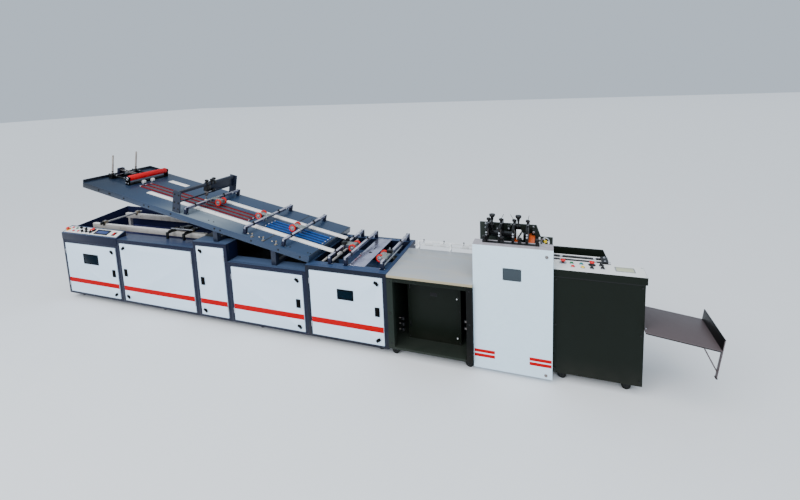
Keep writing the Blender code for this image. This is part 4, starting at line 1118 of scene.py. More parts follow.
@dataclass
class Cabinets:
    """What shows on the five bays: stripes, latches, locks, windows, hinge knuckles, screws."""

    ground: Ground
    widths: tuple[float, ...] = (1.0, 1.225, 0.475, 1.0, 0.9)
    tops: tuple[float, ...] = (0.822, 0.895, 0.978, 0.78, 0.853)
    hinges: tuple[HingeSide, ...] = (
        HingeSide.LEFT, HingeSide.RIGHT, HingeSide.RIGHT, HingeSide.LEFT, HingeSide.LEFT)
    leaf_inset: float = 0.046
    leaf_base: float = 0.101
    head: float = 0.051
    stripe: tuple[float, float] = (0.237, 0.297)
    leans: tuple[tuple[int, int], ...] = ((52, -52), (-52, 52), (-52, -52), (-52, -52), (52, -52))
    latch_inset: float = 0.06
    lock_inset: float = 0.055
    windows: Mapping[int, Point] = field(
        default_factory=lambda: {0: (0.188, 0.262, 0.128), 4: (0.218, 0.175, 0.102)})
    depth: float = 0.96
    rim: float = 0.012
    lap: float = 0.003
    knuckle: tuple[tuple[float, float], ...] = (
        (0.0, 0.0058), (0.05, 0.0067), (0.46, 0.0067), (0.5, 0.006), (0.54, 0.0067),
        (0.95, 0.0067), (1.0, 0.0058))
    rear_screws: int = 24
    rear_inset: float = 0.08
    foot_inset: float = 0.12

    def leaf(self, index: int) -> tuple[float, float, float, float]:
        """Place one door leaf.

        Args:
            index: The bay, from 0 at the left.

        Returns:
            The leaf's left, bottom, right and top.
        """
        left = sum(self.widths[:index])
        return (left + self.leaf_inset, self.leaf_base, left + self.widths[index] - self.leaf_inset,
                self.tops[index] - self.head)

    def latch(self, piece: Piece, x: float, z: float) -> None:
        """Add a paddle latch with its key slot.

        Args:
            piece: The door's piece.
            x: The latch's place along the line.
            z: Its height.
        """
        piece.slab(
            (x - 0.025, -0.0098, z - 0.0465), (x + 0.025, 0.001, z + 0.0465), Coat.LATCH, 0.003)
        piece.slab(
            (x - 0.0175, -0.0135, z - 0.038), (x + 0.0175, -0.009, z + 0.012), Coat.LATCH, 0.002)
        piece.cap(
            (x, -0.009, z + 0.029), (x, -0.0125, z + 0.029), (0.0105, 0.0092), Coat.LATCH, 0.7)
        piece.slab(
            (x - 0.0012, -0.0132, z + 0.023), (x + 0.0012, -0.012, z + 0.035), Coat.LATCH, 0.0003)

    def lock(self, piece: Piece, x: float, z: float, lean: float) -> None:
        """Add a quarter-turn lock.

        Args:
            piece: The door's piece.
            x: The lock's place along the line.
            z: Its height.
            lean: The angle of its wing in degrees.
        """
        piece.cap((x, 0.001, z), (x, -0.0058, z), (0.018, 0.016), Coat.LATCH)
        piece.slab(
            (x - 0.0145, -0.0125, z - 0.028), (x + 0.0145, -0.0052, z + 0.028), Coat.LATCH, 0.003,
            Matrix.Rotation(math.radians(lean), 3, "Y"))

    def window(self, piece: Piece, index: int) -> None:
        """Add a data window: a rim, dark glass and corner screws.

        Args:
            piece: The door's piece.
            index: The door's place in the row, from 0.
        """
        x0, _, x1, z1 = self.leaf(index)
        drop, wide, tall = self.windows[index]
        x, z = (x0 + x1) / 2, z1 - drop
        reach, rise, rim = wide / 2 + self.lap, tall / 2 + self.lap, self.rim
        low, high = (x - reach, z - rise), (x + reach, z + rise)
        for start, end in ((low, (high[0], low[1] + rim)), ((low[0], high[1] - rim), high),
                           (low, (low[0] + rim, high[1])), ((high[0] - rim, low[1]), high)):
            piece.slab((start[0], -0.0062, start[1]), (end[0], 0.0008, end[1]), Coat.LATCH, 0.0015)
        piece.slab(
            (low[0] + rim / 2, -0.0042, low[1] + rim / 2),
            (high[0] - rim / 2, -0.003, high[1] - rim / 2), Coat.WINDOW, 0.0003)
        piece.bolts(
            (low[0] + rim / 2, high[0] - rim / 2), (-0.006,), (low[1] + rim / 2, high[1] - rim / 2),
            FRONT, 0.0026, Coat.LATCH)

    def knuckles(self, index: int, leaf: Piece, frame: Piece) -> None:
        """Add the turned knuckles of a door's two hinges, half on the door and half on the frame.

        Args:
            index: The door's place in the row, from 0.
            leaf: The door's piece.
            frame: The frames' piece.
        """
        x0, z0, x1, z1 = self.leaf(index)
        x = x0 - 0.003 if self.hinges[index] is HingeSide.LEFT else x1 + 0.003
        for low in (z0 + 0.084, z1 - 0.144):
            frame.turned((x, 0.0, low), (x, 0.0, low + 0.0298), self.knuckle, Coat.ZINC, 20)
            leaf.turned((x, 0.0, low + 0.0305), (x, 0.0, low + 0.06), self.knuckle, Coat.ZINC, 20)

    def door(self, index: int, frame: Piece) -> None:
        """Dress one door.

        Args:
            index: Its place in the row, from 0.
            frame: The frames' piece.
        """
        x0, z0, x1, z1 = self.leaf(index)
        leaf = self.ground.piece(f"door_{index + 1}_fittings")
        leaf.slab((x0 + 0.0012, -0.0007, self.stripe[0]), (x1 - 0.0012, 0.0006, self.stripe[1]),
                  Coat.STRIPE, 0.0003)
        free = x1 if self.hinges[index] is HingeSide.LEFT else x0
        latch_x = free - self.hinges[index].value * self.latch_inset
        self.latch(leaf, latch_x, (z0 + z1) / 2)
        for lock_z, lean in zip((z0 + self.lock_inset, z1 - self.lock_inset), self.leans[index]):
            self.lock(leaf, latch_x, lock_z, lean)
        if index in self.windows:
            self.window(leaf, index)
        self.knuckles(index, leaf, frame)
        leaf.made(f"door_{index + 1}_body")

    def frames(self) -> None:
        """Dress all doors and add the screws of their frames."""
        frame = self.ground.piece("bay_frame_fittings")
        for index, width in enumerate(self.widths):
            self.door(index, frame)
            left = sum(self.widths[:index])
            frame.bolts(
                (left + 0.02, left + width - 0.02), (0.0044,), (0.11, self.tops[index] - 0.022),
                FRONT, 0.0042, Coat.BLACK)
        frame.made()

    def rear(self) -> None:
        """Add the screws and the joint covers of the rear wall."""
        rear = self.ground.piece("rear_wall_screws")
        pitch = (sum(self.widths) - 2 * self.rear_inset) / (self.rear_screws - 1)
        for step in range(self.rear_screws):
            rear.bolts(
                (self.rear_inset + step * pitch,), (self.depth - 0.0004,), (0.105, 0.745), BACK,
                0.005)
        for count in range(1, len(self.widths)):
            x = sum(self.widths[:count])
            rear.slab(
                (x - 0.012, self.depth - 0.001, 0.085), (x + 0.012, self.depth + 0.002, 0.765),
                Coat.FRAME, 0.0008)
        rear.made()

    def feet(self) -> None:
        """Add the levelling feet, in four pairs."""
        feet = self.ground.piece("levelling_feet")
        inset = self.foot_inset
        for step in range(4):
            x = inset + step * (sum(self.widths) - 2 * inset) / 3
            for y in (inset, self.depth - inset):
                feet.turned(
                    (x, y, 0.0002), (x, y, 0.02),
                    ((0.0, 0.0305), (0.5, 0.031), (0.85, 0.0308), (1.0, 0.0302)), Coat.BLACK_RUBBER)
                feet.drum((x, y, 0.046), (x, y, 0.06), (0.036, 0.038), Coat.ZINC, sides=6)
        feet.made()

    def build(self) -> None:
        """Build the cabinets' pieces."""
        self.frames()
        self.rear()
        self.feet()


class Knob(Enum):
    """The kinds of operating element on a panel."""

    PUSH = "push"
    MUSHROOM = "mushroom"
    SELECTOR = "selector"
    ROCKER = "rocker"


@dataclass(frozen=True)
class Control:
    """One operating element, placed as shares of its panel's length and depth."""

    kind: Knob
    along: float
    across: float
    coat: Coat
    base: Coat = Coat.ZINC

    def fit(self, piece: Piece, x: float, y: float) -> None:
        """Add it to a panel's piece.

        Args:
            piece: The panel's piece.
            x: Its place along the panel.
            y: Its place across the panel.
        """
        shapes = {
            Knob.PUSH: self._push, Knob.MUSHROOM: self._mushroom, Knob.SELECTOR: self._selector,
            Knob.ROCKER: self._rocker}
        shapes[self.kind](piece, x, y)

    def _push(self, piece: Piece, x: float, y: float) -> None:
        """Add a push button in a bright ring."""
        piece.cap((x, y, 0.0), (x, y, 0.005), (0.018, 0.016), self.base)
        piece.cap((x, y, 0.004), (x, y, 0.013), (0.0138, 0.0118), self.coat, 0.7)

    def _mushroom(self, piece: Piece, x: float, y: float) -> None:
        """Add a mushroom button on a collar.

        Args:
            piece: The panel's piece.
            x: Its place along the panel.
            y: Its place across the panel.
        """
        piece.cap((x, y, 0.0), (x, y, 0.007), (0.03, 0.025), self.base, 0.5)
        piece.turned((x, y, 0.006), (x, y, 0.02), ((0.0, 0.012), (1.0, 0.011)), Coat.KNOB)
        piece.turned(
            (x, y, 0.018), (x, y, 0.034),
            ((0.0, 0.013), (0.2, 0.0205), (0.55, 0.0225), (0.8, 0.0195), (1.0, 0.011)), self.coat)

    def _selector(self, piece: Piece, x: float, y: float) -> None:
        """Add a selector switch with a tall grip.

        Args:
            piece: The panel's piece.
            x: Its place along the panel.
            y: Its place across the panel.
        """
        piece.cap((x, y, 0.0), (x, y, 0.006), (0.018, 0.016), self.base)
        piece.turned(
            (x, y, 0.005), (x, y, 0.016), ((0.0, 0.015), (0.8, 0.0142), (1.0, 0.0125)), self.coat)
        piece.slab(
            (x - 0.0055, y - 0.0155, 0.015), (x + 0.0055, y + 0.0155, 0.033), self.coat, 0.002,
            Matrix.Rotation(math.radians(-25), 3, "Z"))

    def _rocker(self, piece: Piece, x: float, y: float) -> None:
        """Add a rocker switch in its bezel.

        Args:
            piece: The panel's piece.
            x: Its place along the panel.
            y: Its place across the panel.
        """
        piece.slab((x - 0.027, y - 0.031, 0.0), (x + 0.027, y + 0.031, 0.006), Coat.KNOB, 0.002)
        piece.slab((x - 0.013, y - 0.017, 0.004), (x + 0.013, y + 0.017, 0.012), self.coat, 0.003,
                   Matrix.Rotation(math.radians(9), 3, "X"))


@dataclass
class ControlDesk:
    """The sloping panel at the left end of the line, with its buttons and its display."""

    ground: Ground
    length: float = 0.964
    depth: float = 0.1117
    display: tuple[float, float, float, float] = (0.565, 0.1, 0.808, 0.84)
    rim: float = 0.016
    inset: float = 0.012
    controls: tuple[Control, ...] = (
        Control(Knob.MUSHROOM, 0.036, 0.42, Coat.RED_BUTTON, Coat.AMBER_BASE),
        Control(Knob.PUSH, 0.088, 0.76, Coat.PINK_BUTTON),
        Control(Knob.PUSH, 0.172, 0.7, Coat.GREEN_BUTTON),
        Control(Knob.SELECTOR, 0.255, 0.74, Coat.KNOB),
        Control(Knob.SELECTOR, 0.36, 0.64, Coat.KNOB),
        Control(Knob.PUSH, 0.44, 0.66, Coat.RED_BUTTON),
        Control(Knob.MUSHROOM, 0.5, 0.66, Coat.RED_BUTTON, Coat.KNOB),
        Control(Knob.PUSH, 0.16, 0.27, Coat.RED_BUTTON),
        Control(Knob.PUSH, 0.252, 0.27, Coat.PINK_BUTTON),
        Control(Knob.SELECTOR, 0.338, 0.26, Coat.KNOB),
        Control(Knob.SELECTOR, 0.418, 0.26, Coat.KNOB),
        Control(Knob.SELECTOR, 0.5, 0.22, Coat.KNOB),
        Control(Knob.ROCKER, 0.912, 0.42, Coat.RED_BUTTON))

    def build(self) -> None:
        """Set the controls and the display on the panel."""
        piece = Piece("control_panel_fittings", self.ground.panel)
        for control in self.controls:
            control.fit(piece, control.along * self.length, control.across * self.depth)
        x0, y0, x1, y1 = (
            share * size for share, size in zip(self.display, (self.length, self.depth) * 2))
        rim = self.rim
        for low, high in (
                ((x0, y0), (x1, y0 + rim)), ((x0, y1 - rim), (x1, y1)), ((x0, y0), (x0 + rim, y1)),
                ((x1 - rim, y0), (x1, y1))):
            piece.slab((*low, 0.0), (*high, 0.009), Coat.BEZEL, 0.002)
        piece.slab(
            (x0 + rim / 2, y0 + rim / 2, 0.0), (x1 - rim / 2, y1 - rim / 2, 0.005), Coat.SCREEN,
            0.0006)
        piece.bolts(
            (self.inset, self.length - self.inset), (self.inset, self.depth - self.inset), (0.0,),
            UP, 0.0036)
        piece.made()


@dataclass
class FeedTrough:
    """The feed rails in the open trough: rubbed tops, clamps, the screw and the side arms."""

    ground: Ground
    rail_x: tuple[float, float] = (0.2, 2.15)
    rail_ys: tuple[float, float] = (0.28, 0.76)
    rail_width: float = 0.045
    rail_top: float = 0.958
    clamp_x: float = 0.42
    clamp_half: float = 0.0225
    screw_lift: float = 0.02
    screws: int = 9
    screw_pitch: float = 0.22
    arm_xs: tuple[float, float] = (1.64, 1.9)

    def rails(self) -> None:
        """Add the wearing strips and bolts of the rails."""
        piece = self.ground.piece("feed_rail_strips")
        left, top = self.rail_x[0], self.rail_top
        runs = (
            (left + 0.002, self.clamp_x - 0.024), (self.clamp_x + 0.024, self.arm_xs[0] - 0.004))
        for y in self.rail_ys:
            for x0, x1 in runs:
                piece.slab(
                    (x0, y + 0.002, top - 0.001), (x1, y + self.rail_width - 0.002, top + 0.0015),
                    Coat.STRIP, 0.0008)
            for step in range(self.screws):
                piece.bolt(
                    (left + 0.08 + step * self.screw_pitch, y + 0.0004, top - 0.03), FRONT, 0.005)
        piece.made()

    def clamp(self) -> None:
        """Add the clamp blocks' bolts, the screw between them and its hand knob."""
        piece = self.ground.piece("feed_rail_clamp")
        x, half, top = self.clamp_x, self.clamp_half, self.rail_top
        z = top + self.screw_lift
        for y in self.rail_ys:
            middle = y + self.rail_width / 2
            piece.slab(
                (x - half, y - 0.001, top - 0.02),
                (x + half, y + self.rail_width + 0.001, top + 0.042), Coat.BRASS, 0.003)
            piece.bolt((x, middle, top + 0.0418), UP, 0.009)
            piece.bolt((x + half, middle, top + 0.008), RIGHT, 0.006)
        front, back = self.rail_ys
        piece.thread((x, front + 0.046, z), (x, back, z), 0.0128, 0.006, Coat.ZINC, 0.1)
        piece.knob((x, front - 0.001, z), (x, front - 0.045, z), 0.02, Coat.KNOB)
        piece.made()

    def arms(self) -> None:
        """Add the grips, bushes, cross shaft and spring of the side arms."""
        piece = self.ground.piece("side_arm_fittings")
        z = self.rail_top + self.screw_lift
        for x in self.arm_xs:
            middle = x + 0.015
            piece.bar((middle, 0.196, z), (middle, 0.412, z), 0.008, Coat.BLACK)
            piece.drum((middle, 0.2, z), (middle, 0.262, z), (0.012, 0.016), Coat.BLACK_RUBBER)
            piece.drum((middle, 0.3, z - 0.001), (middle, 0.332, z - 0.001), (0.018, 0.021),
                       Coat.BRASS, 0.15)
            piece.bolt((middle, 0.385, z + 0.0025), UP, 0.008)
        lift = z + 0.014
        low, high = self.arm_xs
        piece.bar((low - 0.03, 0.282, lift), (high + 0.06, 0.282, lift), 0.0075, Coat.ZINC)
        piece.thread(
            (low + 0.06, 0.282, lift), (low + 0.17, 0.282, lift), 0.013, 0.0075, Coat.ZINC, 0.35)
        piece.bar((1.7, 0.405, z + 0.006), (1.86, 0.335, z + 0.006), 0.009, Coat.BLACK)
        piece.slab((1.745, 0.345, z - 0.002), (1.835, 0.412, z + 0.025), Coat.BLACK, 0.003)
        piece.made()

    def build(self) -> None:
        """Build the trough's pieces."""
        self.rails()
        self.clamp()
        self.arms()


@dataclass
class Deck:
    """What lies and stands on the sloping deck. Places run down it, across it and off it."""

    ground: Ground
    width: float = 0.98
    length: float = 3.3281
    seam: float = 2.75
    near_strip: tuple[float, float, float] = (0.82, 3.56, 0.23)
    far_strip: tuple[float, float, float] = (1.7, 3.44, 0.62)
    red_run: tuple[float, float, int, float] = (0.56, 2.3, 3, 0.08)
    blue_run: tuple[float, float, int, float] = (2.52, 3.3, 4, 0.06)
    lane_from: float = 0.34
    screw_pitch: float = 0.34
    screw_margin: float = 0.03
    rod_x: float = 0.085
    rod_ys: tuple[float, float] = (0.33, 0.67)
    roller_ys: tuple[float, float] = (0.3, 0.86)
    gantry_x: float = 1.52
    gantry_height: float = 0.257

    def piece(self, name: str) -> Piece:
        """Start a piece in the deck's frame."""
        return Piece(name, self.ground.deck)

    def sheet(self) -> None:
        """Add the screws of the skirt, the seam and the small plates on the sheet."""
        piece = self.piece("deck_screws")
        skirt = (0.28, 0.46, 0.475, 0.71, 1.04, 1.115, 1.46, 2.1, 2.18, 2.6, 2.95, 3.22)
        piece.bolts(skirt, (0.0,), (-0.034,), FRONT, 0.0075, Coat.BLACK)
        piece.bolts((1.95, 2.02, 2.86, 3.05, 3.27, 3.3), (0.07,), (0.0,), UP, 0.0055, Coat.BLACK)
        piece.bolts((2.83, 2.88, 1.3), (0.88,), (0.0,), UP, 0.0055, Coat.BLACK)
        for y0, y1 in (
                (0.002, self.near_strip[2] - 0.001), (0.292, 0.338), (0.684, self.width - 0.002)):
            piece.slab(
                (self.seam - 0.006, y0, -0.001), (self.seam + 0.006, y1, 0.001), Coat.BLACK, 0.0003)
        piece.slab((0.64, 0.715, -0.0005), (0.95, 0.792, 0.003), Coat.STRIP, 0.0008)
        piece.slab(
            (self.length - 0.012, 0.004, -0.001), (self.length - 0.002, self.width - 0.004, 0.0012),
            Coat.BLACK, 0.0005)
        piece.made()

    def strips(self) -> None:
        """Add the screws and the end shoes of the guide strips."""
        piece = self.piece("guide_strip_fittings")
        for start, end, across in (self.near_strip, self.far_strip):
            middle = across + 0.03
            for step in range(int((end - start) / self.screw_pitch) + 1):
                spot = start + self.screw_margin + step * self.screw_pitch
                spot = min(spot, end - self.screw_margin)
                piece.bolt((spot, middle, 0.0158), UP, 0.0042, Coat.ZINC)
            piece.plate(
                ((start - 0.02, across + 0.003, 0.0005), (start + 0.001, across + 0.003, 0.0005),
                    (start + 0.001, across + 0.003, 0.0155)), (0, 0.054, 0), Coat.STRIP)
        piece.made()

    def toggles(self) -> None:
        """Add the three toggle clamps at the front edge."""
        piece = self.piece("edge_toggles")
        for along in (2.59, 2.735, 2.9):
            piece.slab(
                (along - 0.014, 0.008, 0.0), (along + 0.014, 0.042, 0.006), Coat.BRASS, 0.002)
            piece.bar((along, 0.025, 0.004), (along, 0.025, 0.034), 0.005, Coat.ZINC)
            piece.turned(
                (along, 0.025, 0.032), (along, 0.025, 0.046),
                ((0.0, 0.006), (0.3, 0.01), (0.8, 0.009), (1.0, 0.006)), Coat.BRASS, 20)
            piece.bar((along, 0.025, 0.026), (along - 0.032, 0.012, 0.033), 0.0032, Coat.BLACK)
            piece.turned((along - 0.032, 0.012, 0.033), (along - 0.048, 0.007, 0.036),
                         ((0.0, 0.004), (0.4, 0.007), (0.9, 0.006), (1.0, 0.003)), Coat.ROD, 16)
        piece.made()

    def belts(self) -> None:
        """Add the cores of the red belts, the bed of the blue ones, and their end rolls."""
        piece = self.piece("belt_cores")
        for start, end, count, pitch, coat in (
                (*self.red_run, Coat.BLACK_RUBBER), (*self.blue_run, Coat.BLUE_BED)):
            for lane in range(count):
                across = self.lane_from + lane * pitch
                if coat is Coat.BLACK_RUBBER:
                    piece.slab(
                        (start + 0.03, across + 0.0035, 0.011),
                        (end - 0.03, across + 0.0125, 0.0124), coat, 0.0004)
                for along in (start + 0.01, end - 0.01):
                    piece.drum((along, across - 0.004, 0.0065), (along, across + 0.02, 0.0065),
                               (0.006, 0.0085), Coat.ZINC, sides=20)
        start, end, count, pitch = self.blue_run
        last = self.lane_from + (count - 1) * pitch
        piece.slab(
            (start + 0.03, 0.332, 0.0), (end - 0.03, last + 0.024, 0.006), Coat.BLUE_BED, 0.001)
        start, end, count, pitch = self.red_run
        for lane in range(count - 1):
            across = self.lane_from + lane * pitch
            piece.slab(
                (start + 0.05, across + 0.02, 0.0), (end - 0.04, across + pitch - 0.004, 0.0035),
                Coat.BELT_BED, 0.0008)
        piece.made()

    def guides(self) -> None:
        """Add the upright rods' collars, the bracket with its light bars and the tie rod."""
        piece = self.piece("paper_guide_fittings")
        x = self.rod_x
        for y in self.rod_ys:
            piece.turned(
                (x, y, 0.06), (x, y, 0.3205),
                ((0.0, 0.0118), (0.02, 0.011), (0.97, 0.011), (1.0, 0.008)), Coat.ROD, 20)
            for z, radius in ((0.061, 0.015), (0.09, 0.013)):
                piece.drum(
                    (x, y, z), (x, y, z + 0.014), (radius * 0.9, radius), Coat.BLACK, 0.15, 24)
            piece.knob((0.052, y, 0.046), (0.02, y, 0.046), 0.013, Coat.KNOB)
        piece.slab((0.075, 0.4, 0.03), (0.083, 0.48, 0.128), Coat.FRAME, 0.002)
        for y in (0.4, 0.474):
            piece.slab((0.075, y, 0.03), (0.118, y + 0.006, 0.128), Coat.FRAME, 0.002)
        for y in (0.422, 0.458):
            piece.slab((0.08, y - 0.007, 0.106), (0.372, y + 0.007, 0.114), Coat.BRONZE, 0.0015)
        piece.slab((0.358, 0.41, 0.04), (0.37, 0.47, 0.115), Coat.BLACK, 0.0015)
        piece.bar((0.1, 0.345, 0.045), (0.1, 0.655, 0.045), 0.006, Coat.ZINC)
        piece.bolts((0.16, 0.3), self.rod_ys, (0.058,), UP, 0.006)
        piece.made()

    def roller(self, along: float = 0.42, height: float = 0.0863, radius: float = 0.036) -> None:
        """Add the red feed roller, its stand's bolts and the two white wheels below it.

        Args:
            along: The roller's place down the deck.
            height: The height of its axis off the deck.
            radius: Its radius.
        """
        roller = self.piece("feed_roller_sleeve")
        near, far = self.roller_ys
        roller.drum((along, near, height), (along, far, height), (radius * 0.93, radius),
                    Coat.RED_RUBBER, 0.006, 48)
        for y in (near, far):
            roller.drum((along, y - 0.0025, height), (along, y + 0.0025, height), (0.021, 0.023),
                        Coat.ZINC, 0.2)
        roller.drum((along, near - 0.025, height), (along, far + 0.025, height), (0.0065, 0.008),
                    Coat.ZINC, 0.004)
        roller.made("feed_roller_body", ("feed_roller",))
        stand = self.piece("feed_roller_fittings")
        for y, side in ((0.274, -1), (0.886, 1)):
            stand.ring((along, y, height), BACK, 0.017, 0.0045, Coat.ZINC)
            stand.bolts((along - 0.02, along + 0.02), (y,), (0.026,), (0, side, 0), 0.0055)
        for y in (0.458, 0.592):
            x, z = along + 0.072, 0.0235
            for side in (-0.016, 0.006):
                stand.drum(
                    (x, y + side, z), (x, y + side + 0.012, z), (0.019, 0.0225), Coat.WHITE_KNOB,
                    0.12)
            stand.pin((x, y - 0.02, z), (x, y + 0.022, z), 0.0055, Coat.ZINC)
            stand.slab((along + 0.028, y - 0.002, 0.006), (x + 0.008, y + 0.004, 0.03), Coat.BLACK,
                       0.0015)
        stand.made()

    def gantry(self) -> None:
        """Add the gantry's screws and knobs, and the sensor that hangs from it."""
        piece = self.piece("gantry_fittings")
        x, top = self.gantry_x, self.gantry_height
        for z in (0.045, 0.12, 0.215):
            for side in (-0.03, 0.03):
                piece.bolt((x + side, 0.0132, z), FRONT, 0.0075, Coat.BLACK)
                piece.bolt((x + side, 0.9668, z), BACK, 0.0075, Coat.BLACK)
        for y, lean in ((0.47, 0.0), (0.545, 0.012), (0.6, -0.008)):
            piece.slab(
                (x - 0.021, y - 0.018, top - 0.036), (x + 0.021, y + 0.018, top + 0.006),
                Coat.BLACK, 0.003)
            piece.turned(
                (x + lean, y, top + 0.004), (x + lean, y, top + 0.04),
                ((0.0, 0.012), (0.3, 0.012), (0.42, 0.024), (0.85, 0.025), (1.0, 0.017)), Coat.KNOB,
                24)
        piece.slab((x - 0.03, 0.455, 0.15), (x + 0.026, 0.525, 0.222), Coat.KNOB, 0.004)
        piece.slab((x - 0.018, 0.466, 0.086), (x + 0.014, 0.5, 0.15), Coat.BRONZE, 0.003)
        piece.bar((x, 0.484, 0.072), (x, 0.484, 0.024), 0.009, Coat.ZINC)
        piece.turned(
            (x, 0.484, 0.034), (x, 0.484, 0.016), ((0.0, 0.01), (0.3, 0.017), (1.0, 0.017)),
            Coat.STRIP, 24)
        piece.slab((x + 0.01, 0.54, 0.12), (x + 0.034, 0.6, 0.165), Coat.KNOB, 0.003)
        piece.bar((x + 0.022, 0.49, 0.14), (x + 0.022, 0.61, 0.14), 0.006, Coat.ZINC)
        piece.made()

    def build(self) -> None:
        """Build all that lies on the deck."""
        self.sheet()
        self.strips()
        self.toggles()
        self.belts()
        self.guides()
        self.roller()
        self.gantry()


@dataclass(frozen=True)
class WheelBar:
    """A cross bar with a pair of pressing wheels.

    The axle lies arm away from the bar, and each wheel starts at its place across the line.
    """

    number: int
    along: float
    seat: float
    rise: float
    span: tuple[float, float]
    wheels: tuple[float, float] | None = None
    arm: float = 0.0
    sloping: bool = True
    strip: float = 0.016
    gap: float = 0.005
    wheel_radius: float = 0.042

    @property
    def axle(self) -> tuple[float, float]:
        """Return the axle's place along the line and its height."""
        return self.along + self.arm, self.seat + self.strip + self.gap + self.wheel_radius


@dataclass
class TransportBars:
    """The six cross bars: end brackets, collars with knobs, arms, and five pairs of wheels."""

    ground: Ground
    wheel_width: float = 0.022
    bars: tuple[WheelBar, ...] = (
        WheelBar(1, 1.64, 0.0003, 0.085, (0.03, 0.95), (0.425, 0.52), 0.11),
        WheelBar(2, 2.48, 0.0003, 0.085, (0.03, 0.95), (0.405, 0.505), -0.11),
        WheelBar(3, 2.98, 0.0003, 0.085, (0.03, 0.95), (0.365, 0.475), -0.11),
        WheelBar(4, 3.95, 0.8533, 0.088, (0.0743, 0.9267), (0.385, 0.51), 0.11, False),
        WheelBar(5, 4.13, 0.8533, 0.088, (0.0743, 0.9267), sloping=False),
        WheelBar(6, 4.528, 0.8533, 0.088, (0.0743, 0.9267), (0.2, 0.32), -0.068, False))

    def piece(self, bar: WheelBar, name: str) -> Piece:
        """Start a piece in the frame that the bar stands in."""
        return Piece(name, self.ground.deck if bar.sloping else self.ground.level)

    def wheels(self, bar: WheelBar, number: int) -> None:
        """Add a pair of wheels on their axle, in place of the plain ones.

        Args:
            bar: The bar that carries them.
            number: The number of the pair.
        """
        piece = self.piece(bar, f"wheel_pair_{number}_wheels")
        x, z = bar.axle
        radius, width = bar.wheel_radius, self.wheel_width
        tyre = ((0.22, 0.029), (0.03, 0.0304), (0.0, 0.035), (0.08, 0.041), (0.25, radius),
                (0.75, radius), (0.92, 0.041), (1.0, 0.035), (0.97, 0.0304), (0.78, 0.029))
        for y in bar.wheels:
            piece.turned((x, y, z), (x, y + width, z), tyre, Coat.TYRE_RED, 40)
            piece.turned(
                (x, y, z), (x, y + width, z),
                ((0.2, 0.0285), (0.2, 0.0296), (0.8, 0.0296), (0.8, 0.0285)), Coat.HUB, 32)
            piece.turned(
                (x, y, z), (x, y + width, z),
                ((0.02, 0.0095), (0.06, 0.011), (0.94, 0.011), (0.98, 0.0095)), Coat.ZINC, 24)
            for step in range(5):
                angle = 2 * math.pi * step / 5
                hole = (x + 0.0205 * math.cos(angle), z + 0.0205 * math.sin(angle))
                piece.pin(
                    (hole[0], y + width * 0.185, hole[1]), (hole[0], y + width * 0.815, hole[1]),
                    0.0042, Coat.KNOB, 12)
        piece.drum(
            (x, bar.wheels[0] + 0.002, z), (x, bar.wheels[1] + width - 0.002, z), (0.007, 0.008),
            Coat.ZINC, 0.01, 24)
        piece.made(f"wheel_pair_{number}_body", (f"wheel_pair_{number}",))

    def arm(self, bar: WheelBar, piece: Piece) -> None:
        """Clad the arm that carries a pair of wheels.

        Args:
            bar: The bar.
            piece: The bar's piece.
        """
        x, z = bar.axle
        side = math.copysign(1.0, bar.arm)
        inner = bar.wheels[0] + self.wheel_width + 0.0055
        outer = bar.wheels[1] - 0.0055
        ends = sorted((bar.along - side * 0.016, x + side * 0.0152))
        top = bar.seat + bar.rise
        piece.slab((ends[0], inner, top - 0.004), (ends[1], outer, top + 0.0035), Coat.ARM, 0.0018)
        tip = sorted((x + side * 0.0135, x + side * 0.016))
        piece.slab((tip[0], inner, z - 0.015), (tip[1], outer, top + 0.002), Coat.ARM, 0.0008)
        for share in (0.3, 0.72):
            piece.bolt((bar.along + bar.arm * share, (inner + outer) / 2, top + 0.0032), UP, 0.0058)
        reach = bar.along + bar.arm * 0.5
        piece.pin(
            (reach, inner - 0.0002, (z + top) / 2), (reach, outer + 0.0002, (z + top) / 2), 0.012,
            Coat.BLACK, 24)

    def brackets(self, bar: WheelBar, piece: Piece) -> None:
        """Add the dark brackets that hold a bar's ends, and the bar's end caps.

        Args:
            bar: The bar.
            piece: The bar's piece.
        """
        top = bar.seat + bar.rise
        for start, out in ((bar.span[0], -1), (bar.span[1] - 0.034, 1)):
            low, high = start + 0.0005, start + 0.0335
            piece.slab(
                (bar.along - 0.0185, low, bar.seat + 0.0002),
                (bar.along + 0.0185, high, top - 0.0295), Coat.FRAME, 0.0018)
            for side in (-1, 1):
                sides = sorted((bar.along + side * 0.0144, bar.along + side * 0.0188))
                piece.slab(
                    (sides[0], low, top - 0.04), (sides[1], high, top + 0.002), Coat.FRAME, 0.0012)
            piece.slab((bar.along - 0.03, low + 0.002, bar.seat + 0.0002),
                       (bar.along + 0.03, high - 0.002, bar.seat + 0.0058), Coat.FRAME, 0.0015)
            for side in (-0.0245, 0.0245):
                piece.bolt((bar.along + side, (low + high) / 2, bar.seat + 0.0056), UP, 0.0036)
            end_y = start if out < 0 else start + 0.034
            piece.bolt((bar.along, end_y, top - 0.014), (0, out, 0), 0.0065)

